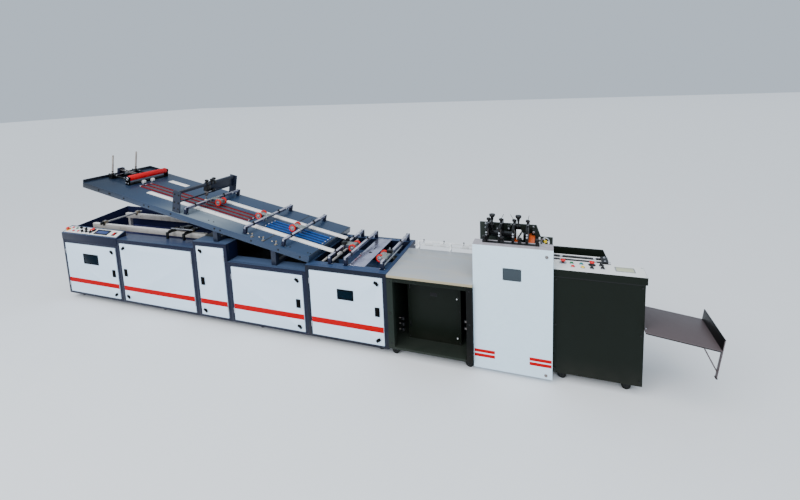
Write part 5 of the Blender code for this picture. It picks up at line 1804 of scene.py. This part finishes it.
    def collars(self, bar: WheelBar, piece: Piece) -> None:
        """Add clamp collars along a bar, each with a screw or a small knob.

        Args:
            bar: The bar.
            piece: The bar's piece.
        """
        top = bar.seat + bar.rise
        low, high = bar.span
        for count, share in enumerate((0.16, 0.34, 0.68, 0.84)):
            y = low + share * (high - low)
            piece.slab(
                (bar.along - 0.017, y - 0.01, top - 0.031),
                (bar.along + 0.017, y + 0.01, top + 0.003), Coat.ZINC if count % 2 else Coat.BLACK,
                0.0018)
            if count % 2:
                piece.bolt((bar.along, y, top + 0.0028), UP, 0.0055)
            else:
                piece.knob(
                    (bar.along, y, top + 0.002), (bar.along, y, top + 0.02), 0.01, Coat.KNOB, 20)
        if bar.wheels:
            for y in (bar.wheels[0] - 0.012, bar.wheels[1] + 0.034):
                piece.slab(
                    (bar.along - 0.018, y - 0.008, top - 0.032),
                    (bar.along + 0.018, y + 0.008, top + 0.004), Coat.ARM, 0.0018)
                piece.bolt((bar.along, y, top + 0.0038), UP, 0.0052)

    def build(self) -> None:
        """Dress every bar and its wheels."""
        number = 0
        for bar in self.bars:
            piece = self.piece(bar, f"cross_bar_{bar.number}_fittings")
            self.brackets(bar, piece)
            self.collars(bar, piece)
            if bar.wheels:
                number += 1
                self.arm(bar, piece)
                self.wheels(bar, number)
            piece.made()


@dataclass
class EndTrough:
    """The trough of the last bay: light shafts, the plate's screws, boxes, cylinders' ends."""

    ground: Ground
    top: float = 0.853
    shaft_xs: tuple[float, float] = (3.812, 3.905)
    shaft_z: float = 0.83
    cylinder_ys: tuple[float, float] = (0.3, 0.64)
    cylinder_z: float = 0.7353

    def shafts(self) -> None:
        """Add the three light shafts and their collars."""
        piece = self.ground.piece("end_trough_shafts")
        z = self.shaft_z
        for x in self.shaft_xs:
            piece.drum((x, 0.124, z), (x, 0.882, z), (0.0105, 0.012), Coat.RAIL, 0.002, 28)
            for y in (0.135, 0.44, 0.86):
                piece.drum((x, y, z), (x, y + 0.016, z), (0.017, 0.019), Coat.BLACK, sides=28)
        piece.drum(
            (4.468, 0.13, 0.806), (4.468, 0.87, 0.806), (0.0085, 0.01), Coat.STEEL, 0.002, 28)
        piece.made()

    def plate(self) -> None:
        """Add the screws, the hole, the slot and the front edge of the bright plate."""
        plate = self.ground.piece("trough_plate_fittings")
        plate.bolts((4.17, 4.312), (0.114, 0.892), (0.8562,), UP, 0.0055)
        plate.turned(
            (4.24, 0.47, 0.856), (4.24, 0.47, 0.8572), ((0.0, 0.02), (1.0, 0.019)), Coat.KNOB)
        plate.slab((4.233, 0.56, 0.856), (4.247, 0.64, 0.857), Coat.KNOB, 0.0004)
        plate.slab((4.153, 0.106, 0.848), (4.1555, 0.9, 0.856), Coat.PLATE_STEEL, 0.0006)
        plate.made()

    def boxes(self) -> None:
        """Add the boxes on the trough's floor and what is clamped on the bars over it."""
        boxes = self.ground.piece("end_trough_boxes")
        for y0, x1, y1, z1 in ((0.56, 3.84, 0.76, 0.79), (0.25, 3.86, 0.44, 0.775)):
            boxes.slab((3.752, y0, 0.701), (x1, y1, z1), Coat.BLACK, 0.004)
        boxes.slab((4.5, 0.29, 0.942), (4.556, 0.345, 0.972), Coat.KNOB, 0.004)
        boxes.bar((4.528, 0.318, 0.97), (4.528, 0.318, 0.996), 0.006, Coat.ZINC)
        boxes.slab((4.5, 0.155, 0.9415), (4.556, 0.2, 0.966), Coat.ARM, 0.003)
        boxes.slab((3.926, 0.395, 0.942), (3.975, 0.455, 0.972), Coat.KNOB, 0.004)
        boxes.turned(
            (3.95, 0.52, 0.941), (3.95, 0.52, 0.978),
            ((0.0, 0.01), (0.3, 0.01), (0.42, 0.02), (0.85, 0.02), (1.0, 0.014)), Coat.KNOB, 24)
        boxes.made()

    def cylinders(self) -> None:
        """Add the cylinders' ends and bands."""
        cylinders = self.ground.piece("cylinder_fittings")
        z = self.cylinder_z
        for y in self.cylinder_ys:
            for x, side in ((4.05, -1), (4.5, 1)):
                cylinders.cap((x, y, z), (x + side * 0.014, y, z), (0.034, 0.028), Coat.ZINC, 0.5)
            for x in (4.09, 4.44):
                cylinders.drum((x, y, z), (x + 0.024, y, z), (0.0352, 0.037), Coat.BLACK)
        cylinders.made()

    def ledge(self) -> None:
        """Add the screws of the ledge behind the trough."""
        ledge = self.ground.piece("end_trough_ledge_screws")
        ledge.bolts(
            [3.77 + step * 0.152 for step in range(6)], (0.916,), (self.top,), UP, 0.0042,
            Coat.BLACK)
        ledge.made()

    def build(self) -> None:
        """Build the trough's pieces."""
        self.shafts()
        self.plate()
        self.boxes()
        self.cylinders()
        self.ledge()


@dataclass
class Casters:
    """Detailed casters round the plain ones: a swivel plate, fork cheeks, brake, axle and tread."""

    ground: Ground
    name: str
    xs: tuple[float, ...]
    ys: tuple[float, ...]
    plate: float = 0.09
    radius: float = 0.0375

    def build(self) -> None:
        """Build the casters of one base."""
        piece = self.ground.piece(self.name)
        for x in self.xs:
            for y in self.ys:
                piece.slab(
                    (x - 0.034, y - 0.034, self.plate - 0.006),
                    (x + 0.034, y + 0.034, self.plate - 0.0002), Coat.BLACK, 0.0015)
                piece.turned(
                    (x, y, self.plate - 0.012), (x, y, self.plate - 0.005),
                    ((0.0, 0.026), (0.4, 0.029), (1.0, 0.029)), Coat.BLACK)
                piece.turned(
                    (x, y - 0.015, self.radius), (x, y + 0.015, self.radius),
                    ((0.0, 0.031), (0.08, 0.0355), (0.25, self.radius), (0.75, self.radius),
                        (0.92, 0.0355), (1.0, 0.031)), Coat.CASTER, 36)
                piece.drum(
                    (x, y - 0.0165, self.radius), (x, y + 0.0165, self.radius), (0.017, 0.019),
                    Coat.BLACK)
                for side in (-1, 1):
                    near, far = sorted((y + side * 0.0275, y + side * 0.0305))
                    piece.plate(
                        ((x - 0.022, near, 0.082), (x + 0.022, near, 0.082),
                            (x + 0.013, near, 0.026), (x - 0.013, near, 0.026)), (0, far - near, 0),
                        Coat.BLACK)
                    piece.bolt((x, y + side * 0.0305, self.radius), (0, side, 0), 0.006, Coat.BLACK)
                piece.slab(
                    (x - 0.038, y - 0.013, 0.06), (x - 0.018, y + 0.013, 0.068), Coat.BLACK, 0.002,
                    Matrix.Rotation(math.radians(18), 3, "Y"))
        piece.made()


@dataclass
class FeedTable:
    """The table between the two machines: edge band, box door, knobs and the side rail."""

    ground: Ground
    x0: float = 4.6003
    x1: float = 5.4303
    depth: float = 0.72
    top: float = 0.85
    band: float = 0.0265
    box_x: tuple[float, float] = (4.7453, 5.2803)
    box_y: float = 0.2
    box_z: tuple[float, float] = (0.1123, 0.8077)

    def box(self) -> None:
        """Add the inner box's door, slot handle, knobs and hinges."""
        piece = self.ground.piece("inner_box_fittings")
        x0, x1 = self.box_x
        y = self.box_y
        piece.slab(
            (x0 + 0.02, y - 0.003, self.box_z[0] + 0.018),
            (x1 - 0.02, y + 0.001, self.box_z[1] - 0.03), Coat.CABINET, 0.0012)
        piece.slab((4.978, y - 0.0055, 0.588), (5.048, y - 0.002, 0.626), Coat.BLACK_RUBBER, 0.0012)
        piece.slab((4.984, y - 0.0065, 0.589), (5.042, y - 0.0045, 0.595), Coat.KNOB, 0.0006)
        for z in (0.59, 0.185):
            piece.knob((5.245, y - 0.002, z), (5.245, y - 0.014, z), 0.0065, Coat.WHITE_KNOB)
        for z in (0.24, 0.64):
            piece.drum((x0 + 0.024, y - 0.004, z), (x0 + 0.024, y - 0.004, z + 0.06),
                       (0.005, 0.006), Coat.BLACK, 0.04, 16)
        piece.bolts(
            (x0 + 0.01, x1 - 0.01), (y - 0.0002,), (0.13, 0.46, 0.79), FRONT, 0.0045, Coat.BLACK)
        piece.made()

    def frame(self) -> None:
        """Add the front beads, screws and the table's edge band."""
        piece = self.ground.piece("table_frame_fittings")
        under = self.top - 0.042
        piece.slab(
            (self.x0 + 0.0615, 0.0015, under - 0.026), (self.x1 - 0.0615, 0.024, under - 0.0005),
            Coat.CABINET, 0.0015)
        piece.bolts((self.x0 + 0.03, self.x1 - 0.03), (0.0004,), (0.15, 0.46, 0.78), FRONT, 0.0055,
                    Coat.BLACK)
        for z in (0.22, 0.28, 0.34):
            piece.bar((self.x0 + 0.062, 0.15, z), (self.x0 + 0.095, 0.15, z), 0.006, Coat.BRONZE)
            piece.slab(
                (self.x0 + 0.085, 0.135, z - 0.016), (self.x0 + 0.12, 0.165, z + 0.016), Coat.BLACK,
                0.002)
        for z in (0.33, 0.4):
            piece.slab(
                (self.x1 - 0.105, 0.12, z), (self.x1 - 0.068, 0.15, z + 0.03), Coat.BLACK, 0.002)
            piece.bolt((self.x1 - 0.086, 0.1202, z + 0.015), FRONT, 0.006, Coat.BRONZE)
        piece.made()
        band = self.ground.piece("table_edge_band")
        seam = self.top - self.band
        band.slab(
            (self.x0 + 0.0005, -0.0016, seam), (self.x1 - 0.0005, 0.0006, self.top - 0.0022),
            Coat.EDGE_BAND, 0.0008)
        band.slab(
            (self.x0 + 0.0005, -0.0008, under + 0.0008), (self.x1 - 0.0005, 0.0006, seam - 0.0002),
            Coat.CABINET, 0.0005)
        band.made()

    def rail(self) -> None:
        """Add the lower rail, the cards, the corner bracket and the small knobs."""
        piece = self.ground.piece("side_rail_fittings")
        y = self.depth + 0.08
        start = self.x0 + 0.08
        piece.slab(
            (start + 0.004, y + 0.003, 0.858), (self.x1 - 0.004, y + 0.015, 0.872), Coat.RAIL_WHITE,
            0.002)
        for x, wide in ((self.x0 + 0.165, 0.085), (self.x0 + 0.335, 0.06), (self.x0 + 0.58, 0.075)):
            piece.slab(
                (x, y - 0.0045, 0.864), (x + wide, y - 0.0015, 0.905), Coat.RAIL_WHITE, 0.001)
        piece.plate(((start - 0.05, y + 0.004, 0.8505), (start + 0.016, y + 0.004, 0.8505),
                     (start + 0.016, y + 0.004, 0.922)), (0, 0.006, 0), Coat.RAIL_WHITE)
        for x in (start + 0.07, start + 0.3, start + 0.52, start + 0.69):
            piece.knob((x, y + 0.008, 0.9145), (x, y + 0.008, 0.93), 0.0075, Coat.KNOB, 20)
            piece.turned(
                (x, y - 0.001, 0.905), (x, y - 0.012, 0.905), ((0.0, 0.006), (1.0, 0.005)),
                Coat.ZINC, 16)
        piece.made()

    def build(self) -> None:
        """Build the table's pieces."""
        self.box()
        self.frame()
        self.rail()
        Casters(
            self.ground, "table_casters", (self.x0 + 0.048, self.x1 - 0.048), (0.08, 0.64)).build()


@dataclass
class PressTower:
    """The press tower: its white cover's stripes and plate, the screws, knobs and rollers."""

    ground: Ground
    x0: float = 5.4306
    front: float = 0.03
    low: float = 1.2223
    cheek_top: float = 1.34
    rear_y: float = 0.45
    cheeks: tuple[float, ...] = (0.108, 0.222, 0.341, 0.46)
    front_knobs: tuple[float, ...] = (0.095, 0.25, 0.4, 0.55)
    screws: tuple[float, ...] = (0.142, 0.378)
    screw_y: float = 0.3
    rollers: tuple[float, ...] = (0.355, 0.485)
    roller_z: float = 1.181
    sleeve_ys: tuple[float, float] = (0.1753, 0.445)
    spindle_ys: tuple[float, float] = (0.1655, 0.4698)
    plate_x: tuple[float, float] = (0.262, 0.42)
    plate_z: tuple[float, float] = (0.914, 1.026)
    plate_edge: float = 0.008
    crank_at: Point = (0.612, 0.435, 1.15)
    stripes: tuple[tuple[float, float, float], ...] = (
        (0.006, 0.19, 0.194), (0.006, 0.19, 0.151), (0.49, 0.674, 0.194), (0.49, 0.674, 0.151))

    def cover(self) -> None:
        """Add the cover's stripes, blank plate and screws."""
        piece = self.ground.piece("tower_cover_fittings")
        for start, end, z in self.stripes:
            piece.slab(
                (self.x0 + start, self.front - 0.0007, z),
                (self.x0 + end, self.front + 0.0005, z + 0.03), Coat.STRIPE, 0.0003)
        x0, x1 = (self.x0 + place for place in self.plate_x)
        z0, z1 = self.plate_z
        edge = self.plate_edge
        piece.slab((x0, self.front - 0.0022, z0), (x1, self.front + 0.0005, z1), Coat.PLATE, 0.001)
        piece.slab(
            (x0 + edge, self.front - 0.0027, z0 + edge),
            (x1 - edge, self.front - 0.0018, z1 - edge), Coat.PLATE_FACE, 0.0004)
        piece.bolts(
            (x0 + 0.0045, x1 - 0.0045), (self.front - 0.002,), (z0 + 0.0045, z1 - 0.0045), FRONT,
            0.002)
        piece.bolts(
            (self.x0 + 0.627,), (self.front - 0.0002,), (1.158, 0.075), FRONT, 0.0095, Coat.BRONZE)
        piece.made()

    def roller(self, number: int, offset: float) -> None:
        """Add a press roller with its sleeve, flanges and spindle, in place of the plain one.

        Args:
            number: The number of the roller.
            offset: Its place along the line from the tower's left side.
        """
        piece = self.ground.piece(f"press_roller_{number}_sleeve")
        x, z = self.x0 + offset, self.roller_z
        near, far = self.sleeve_ys
        start, end = self.spindle_ys
        piece.drum((x, near, z), (x, far, z), (0.032, 0.035), Coat.ORANGE, 0.012, 48)
        piece.drum((x, near - 0.002, z), (x, far + 0.002, z), (0.018, 0.02), Coat.ZINC, 0.006)
        piece.drum((x, start, z), (x, end, z), (0.007, 0.008), Coat.ZINC, 0.004, 24)
        piece.made(f"press_roller_{number}_body", (f"press_roller_{number}",))

    def bridge(self) -> None:
        """Add cheeks, ties, slides and the lift screws, in place of the plain bridge."""
        piece = self.ground.piece("screw_bridge_detail")
        low, top, y = self.low, self.cheek_top, self.screw_y
        back = self.rear_y - 0.0003
        for cheek in self.cheeks:
            x = self.x0 + cheek
            for half, near, base, far, roof, edge in (
                    (0.011, 0.13, low, back, low + 0.03, 0.002),
                    (0.011, y - 0.045, low + 0.024, y + 0.045, top, 0.003),
                    (0.008, 0.138, low + 0.02, 0.175, top - 0.03, 0.002),
                    (0.011, 0.4, low + 0.02, back, top, 0.002),
                    (0.011, 0.16, top - 0.024, 0.42, top, 0.002)):
                piece.slab((x - half, near, base), (x + half, far, roof), Coat.BLACK, edge)
            piece.bolts((x,), (0.1378,), (low + 0.055, low + 0.078), FRONT, 0.0055)
            piece.thread(
                (x, 0.215, low + 0.028), (x, 0.215, top - 0.022), 0.0105, 0.0065, Coat.BRONZE, 0.35)
        piece.slab((self.x0 + self.cheeks[0], y - 0.03, low + 0.002),
                   (self.x0 + self.cheeks[-1], y + 0.03, low + 0.04), Coat.BLACK, 0.003)
        piece.slab(
            (self.x0 + 0.078, 0.093, low), (self.x0 + 0.567, 0.132, low + 0.006), Coat.BLACK,
            0.0015)
        for screw in self.screws:
            x = self.x0 + screw
            piece.thread((x, y, low + 0.038), (x, y, 1.388), 0.0092, 0.004, Coat.BLACK)
            piece.turned(
                (x, y, 1.372), (x, y, 1.425), ((0.0, 0.012), (0.15, 0.0125), (0.35, 0.0125),
                    (0.72, 0.027), (0.9, 0.0285), (1.0, 0.026)), Coat.KNOB, 32)
            piece.pin((x, y, low + 0.075), (x, y, low + 0.105), 0.02, Coat.BLACK, 6)
        for cheek, lean in zip(self.cheeks, (0.03, 0.026, -0.034, 0.012)):
            x = self.x0 + cheek
            piece.bar((x, y, top), (x, y, top + 0.02), 0.008, Coat.ZINC)
            piece.star_knob((x, y, top + 0.008), 0.04, 0.0205, Coat.KNOB)
            piece.bar((x, y, top + 0.038), (x + lean, y - 0.006, top + 0.092), 0.0022, Coat.BLACK)
        for offset in self.front_knobs:
            x = self.x0 + offset
            piece.slab(
                (x - 0.0165, 0.0935, low + 0.004), (x + 0.0165, 0.128, low + 0.026), Coat.BLACK,
                0.002)
            piece.star_knob((x, 0.11, low + 0.02), 0.04, 0.0215, Coat.KNOB)
        piece.made(replaces=("screw_bridge",))

    def bracket(self) -> None:
        """Add the pale bracket between the cheeks, its black lever and the clamps on the plate."""
        piece = self.ground.piece("tower_bracket")
        x = self.x0 + 0.4
        piece.plate(
            ((x - 0.034, 0.205, 1.231), (x + 0.026, 0.205, 1.231), (x + 0.026, 0.205, 1.29),
                (x + 0.004, 0.205, 1.322), (x - 0.034, 0.205, 1.322)), (0, 0.01, 0),
            Coat.RAIL_WHITE, 0.0012)
        piece.bar((x - 0.018, 0.198, 1.25), (x + 0.02, 0.198, 1.318), 0.006, Coat.KNOB)
        piece.slab((x - 0.062, 0.24, 1.226), (x - 0.052, 0.3, 1.322), Coat.RAIL_WHITE, 0.0015)
        for offset, z in ((0.18, 1.258), (0.285, 1.268), (0.508, 1.25)):
            piece.slab(
                (self.x0 + offset - 0.016, 0.38, z - 0.03),
                (self.x0 + offset + 0.016, 0.4492, z + 0.02), Coat.CABINET, 0.003)
            piece.bolt((self.x0 + offset, 0.3802, z), FRONT, 0.0075)
        for offset, z in ((0.06, 1.24), (0.06, 1.282), (0.505, 1.278), (0.3, 1.282)):
            piece.bolt((self.x0 + offset, self.rear_y - 0.0002, z), FRONT, 0.0065)
        piece.made()

    def crank(self) -> None:
        """Add the small handwheel at the right shoulder, in place of the plain one."""
        piece = self.ground.piece("crank_handwheel")
        x, y, z = self.crank_at
        x += self.x0
        piece.ring((x, y, z), BACK, 0.034, 0.005, Coat.STEEL, 40)
        piece.drum((x, 0.4255, z), (x, 0.4448, z), (0.012, 0.014), Coat.YELLOW_BUTTON)
        for step in range(3):
            angle = 2 * math.pi * step / 3
            piece.bar(
                (x + 0.01 * math.cos(angle), y, z + 0.01 * math.sin(angle)),
                (x + 0.031 * math.cos(angle), y, z + 0.031 * math.sin(angle)), 0.0045,
                Coat.WHITE_KNOB)
        piece.turned(
            (x + 0.028, 0.433, z), (x + 0.028, 0.3855, z),
            ((0.0, 0.0065), (0.2, 0.008), (0.85, 0.0085), (1.0, 0.0055)), Coat.WHITE_KNOB, 20)
        piece.cap((x, 0.443, z), (x, 0.4698, z), (0.008, 0.007), Coat.ZINC, 0.9, 24)
        piece.made("crank_wheel_body", ("crank_wheel",))
        seat = self.ground.piece("crank_bracket")
        seat.slab((x - 0.06, 0.44, 1.09), (x - 0.046, 0.4498, 1.184), Coat.RAIL_WHITE, 0.0015)
        seat.slab((x - 0.058, 0.38, 1.092), (x + 0.056, 0.4498, 1.101), Coat.RAIL_WHITE, 0.0015)
        seat.made()

    def rear(self) -> None:
        """Add the housing's seams and screws."""
        piece = self.ground.piece("tower_housing_fittings")
        piece.bolts((self.x0 + 0.03, self.x0 + 0.65), (0.7198,), (0.14, 0.47, 0.8), BACK, 0.0065,
                    Coat.BLACK)
        for step in range(9):
            z = 0.3 + step * 0.026
            piece.slab(
                (self.x0 + 0.18, 0.719, z), (self.x0 + 0.5, 0.7215, z + 0.01), Coat.KNOB, 0.001)
        piece.made()

    def build(self) -> None:
        """Build the tower's pieces."""
        self.cover()
        for count, offset in enumerate(self.rollers):
            self.roller(count + 1, offset)
        self.bridge()
        self.bracket()
        self.crank()
        self.rear()
        Casters(self.ground, "tower_casters", (self.x0 + 0.08, self.x0 + 0.6), (0.25, 0.64)).build()


@dataclass
class Console:
    """The console at the right: its controls, a blank data plate, bar ends and screws."""

    ground: Ground
    x0: float = 6.1109
    x1: float = 6.8209
    step: float = 0.012
    length: float = 0.706
    depth: float = 0.196
    panel_front: float = 0.07
    panel_top: float = 1.0473
    plate: tuple[float, float, float, float] = (0.685, 0.34, 0.895, 0.82)
    plate_edge: float = 0.008
    inset: float = 0.012
    controls: tuple[Control, ...] = (
        Control(Knob.MUSHROOM, 0.11, 0.76, Coat.RED_BUTTON),
        Control(Knob.PUSH, 0.21, 0.78, Coat.GREEN_BUTTON),
        Control(Knob.PUSH, 0.32, 0.78, Coat.TEAL_BUTTON),
        Control(Knob.PUSH, 0.22, 0.42, Coat.RED_BUTTON),
        Control(Knob.PUSH, 0.33, 0.42, Coat.YELLOW_BUTTON),
        Control(Knob.MUSHROOM, 0.44, 0.8, Coat.RED_BUTTON, Coat.KNOB),
        Control(Knob.SELECTOR, 0.43, 0.4, Coat.KNOB), Control(Knob.SELECTOR, 0.54, 0.78, Coat.KNOB),
        Control(Knob.SELECTOR, 0.55, 0.48, Coat.KNOB))

    def panel(self) -> None:
        """Set the controls and the blank plate on the panel."""
        frame = self.ground.level @ Matrix.Translation(
            (self.x0 + 0.002, self.panel_front, self.panel_top))
        piece = Piece("console_panel_fittings", frame)
        for control in self.controls:
            control.fit(piece, control.along * self.length, control.across * self.depth)
        x0, y0, x1, y1 = (
            share * size for share, size in zip(self.plate, (self.length, self.depth) * 2))
        piece.slab((x0, y0, 0.0), (x1, y1, 0.003), Coat.ZINC, 0.001)
        edge = self.plate_edge
        piece.slab(
            (x0 + edge, y0 + edge, 0.0), (x1 - edge, y1 - edge, 0.0036), Coat.PALE_PLATE, 0.0005)
        piece.bolts(
            (self.inset, self.length - self.inset), (self.inset, self.depth - self.inset), (0.0,),
            UP, 0.0036)
        piece.made()

    def cabinet(self) -> None:
        """Add the front seam, screws and vents of the cabinet and the bars' ends."""
        piece = self.ground.piece("console_cabinet_fittings")
        x1 = self.x1 - self.step
        piece.bolts(
            (self.x0 + 0.022, x1 - 0.022), (0.0798,), (0.13, 0.54, 0.95), FRONT, 0.0055, Coat.BLACK)
        piece.slab((self.x0 + 0.004, 0.0785, 0.972), (x1 - 0.004, 0.081, 0.98), Coat.KNOB, 0.0008)
        for z in (0.36, 0.4, 0.44, 0.48, 0.52):
            piece.slab((x1 - 0.001, 0.24, z), (x1 + 0.0015, 0.44, z + 0.012), Coat.KNOB, 0.0008)
        piece.made()
        bars = self.ground.piece("delivery_bar_ends")
        for y in (0.3, 0.365, 0.445):
            bars.slab(
                (self.x0 + 0.004, y - 0.0084, 1.0358), (self.x0 + 0.399, y + 0.0084, 1.0372),
                Coat.STRIP, 0.0005)
        bars.slab((6.512, 0.29, 0.9856), (6.56, 0.455, 1.05), Coat.BLACK, 0.003)
        bars.turned(
            (6.556, 0.33, 1.03), (6.582, 0.33, 1.03),
            ((0.0, 0.012), (0.05, 0.014), (0.95, 0.014), (1.0, 0.011)), Coat.ZINC)
        bars.bolts((6.536,), (0.33, 0.415), (1.0498,), UP, 0.007)
        bars.made()

    def build(self) -> None:
        """Build the console's pieces."""
        self.panel()
        self.cabinet()
        Casters(
            self.ground, "console_casters", (self.x0 + 0.08, self.x1 - 0.12), (0.16, 0.52)).build()


@dataclass
class DeliveryTray:
    """The tray at the end: folded edges, its bracket and screws."""

    ground: Ground
    length: float = 0.53
    width: float = 0.48

    def build(self) -> None:
        """Build the tray's pieces, placed down it, across it and off it."""
        piece = Piece("delivery_tray_fittings", self.ground.tray)
        piece.slab(
            (0.004, 0.0004, -0.015), (self.length - 0.008, 0.004, -0.0055), Coat.TRAY_END, 0.001)
        piece.slab(
            (0.004, self.width - 0.004, -0.015),
            (self.length - 0.008, self.width - 0.0004, -0.0055), Coat.TRAY, 0.001)
        piece.slab(
            (self.length - 0.0072, 0.002, -0.0005),
            (self.length + 0.0006, self.width - 0.002, 0.0905), Coat.TRAY_END, 0.001)
        piece.slab(
            (self.length - 0.0085, 0.0, 0.0875), (self.length + 0.0014, self.width, 0.0925),
            Coat.TRAY_END, 0.0015)
        piece.slab((0.001, 0.03, 0.0), (0.022, self.width - 0.03, 0.0022), Coat.TRAY, 0.0008)
        piece.bolts((0.012,), (0.06, self.width / 2, self.width - 0.06), (0.002,), UP, 0.0048)
        piece.bolts((self.length + 0.0004,), (0.05, self.width - 0.05), (0.02,), RIGHT, 0.0048)
        piece.bolts((self.length,), (0.015,), (-0.05, -0.185), RIGHT, 0.0055)
        piece.slab(
            (self.length - 0.01, -0.004, -0.2415), (self.length + 0.004, 0.034, -0.233),
            Coat.BLACK_RUBBER, 0.002)
        piece.made()


# Dressing of the solids


@dataclass
class Solids:
    """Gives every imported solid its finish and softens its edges."""

    nodes: Mapping[str, bpy.types.Object]
    edge: float = 0.0016
    sharp: float = math.radians(24)
    weld: float = 0.00002
    soft_from: float = math.radians(50)
    coats: Mapping[str, Coat] = field(
        default_factory=lambda: {"bay_frame": Coat.FRAME, "bay_frame_5": Coat.END_FRAME,
            "door": Coat.DOOR, "cabinet_floor": Coat.FRAME, "cabinet_walls": Coat.WALL,
            "cabinet_covers": Coat.COVER, "feed_trough_floor": Coat.TROUGH,
            "end_trough": Coat.END_FRAME, "control_box": Coat.FRAME,
            "control_panel": Coat.PANEL, "feed_rails": Coat.RAIL, "clamp_lever": Coat.BLACK,
            "deck": Coat.DECK, "deck_support": Coat.GANTRY, "guide_strip": Coat.STRIP,
            "red_belts": Coat.RED_BELT, "blue_belts": Coat.BLUE_BELT, "paper_guides": Coat.BLACK,
            "feed_roller": Coat.RED_RUBBER, "feed_roller_stand": Coat.LATCH, "gantry": Coat.GANTRY,
            "cross_bar": Coat.CROSS_STEEL, "wheel_pair": Coat.TYRE_RED,
            "trough_cylinders": Coat.CABINET, "trough_plate": Coat.PLATE_STEEL,
            "table_top": Coat.TABLE, "table_cabinet": Coat.BAY, "inner_box": Coat.CABINET,
            "side_rail": Coat.RAIL_WHITE, "tower_cover": Coat.TOWER, "tower_housing": Coat.CABINET,
            "tower_rear_plate": Coat.POST, "press_roller": Coat.ORANGE, "screw_bridge": Coat.BLACK,
            "crank_wheel": Coat.STEEL, "console_cabinet": Coat.CABINET, "console_panel": Coat.PANEL,
            "console_back": Coat.CABINET, "delivery_bars": Coat.STEEL, "delivery_tray": Coat.TRAY})

    def shading(self) -> bpy.types.NodeTree:
        """Make a node group that shades faces smooth and keeps the edges above an angle sharp.

        Returns:
            The group.
        """
        tree = bpy.data.node_groups.new("round_shading", "GeometryNodeTree")
        tree.interface.new_socket("Geometry", in_out="INPUT", socket_type="NodeSocketGeometry")
        tree.interface.new_socket("Geometry", in_out="OUTPUT", socket_type="NodeSocketGeometry")
        start, end = tree.nodes.new("NodeGroupInput"), tree.nodes.new("NodeGroupOutput")
        faces, edges = (tree.nodes.new("GeometryNodeSetShadeSmooth") for _ in range(2))
        edges.domain = "EDGE"
        edges.inputs["Shade Smooth"].default_value = False
        angle = tree.nodes.new("GeometryNodeInputMeshEdgeAngle")
        above = tree.nodes.new("ShaderNodeMath")
        above.operation = "GREATER_THAN"
        above.inputs[1].default_value = self.sharp
        for source, target in (
                (start.outputs[0], faces.inputs[0]), (faces.outputs[0], edges.inputs[0]),
                (angle.outputs[0], above.inputs[0]), (above.outputs[0], edges.inputs[1]),
                (edges.outputs[0], end.inputs[0])):
            tree.links.new(source, target)
        return tree

    def dress(self) -> None:
        """Give each node the coat of the longest name that it starts with."""
        shading = self.shading()
        for name, node in self.nodes.items():
            best = max((key for key in self.coats if name.startswith(key)), key=len)
            node.data.materials.clear()
            node.data.materials.append(self.coats[best].material)
            weld = node.modifiers.new("weld", "WELD")
            weld.merge_threshold = self.weld
            soft = node.modifiers.new("soft_edges", "BEVEL")
            soft.width = self.edge
            soft.segments = 2
            soft.limit_method = "ANGLE"
            soft.angle_limit = self.soft_from
            soft.use_clamp_overlap = True
            node.modifiers.new("round_shading", "NODES").node_group = shading
            LOG.info("solid %s has %s", name, self.coats[best].name)


def main() -> None:
    """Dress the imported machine."""
    logging.basicConfig(level=logging.INFO, format="%(message)s")
    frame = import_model()
    ground = Ground.measured()
    Studio(ground).build()
    Solids(frame["nodes"]).dress()
    for part in (
            Cabinets, ControlDesk, FeedTrough, Deck, TransportBars, EndTrough, FeedTable,
            PressTower, Console, DeliveryTray):
        part(ground).build()


if __name__ == "__main__":
    main()
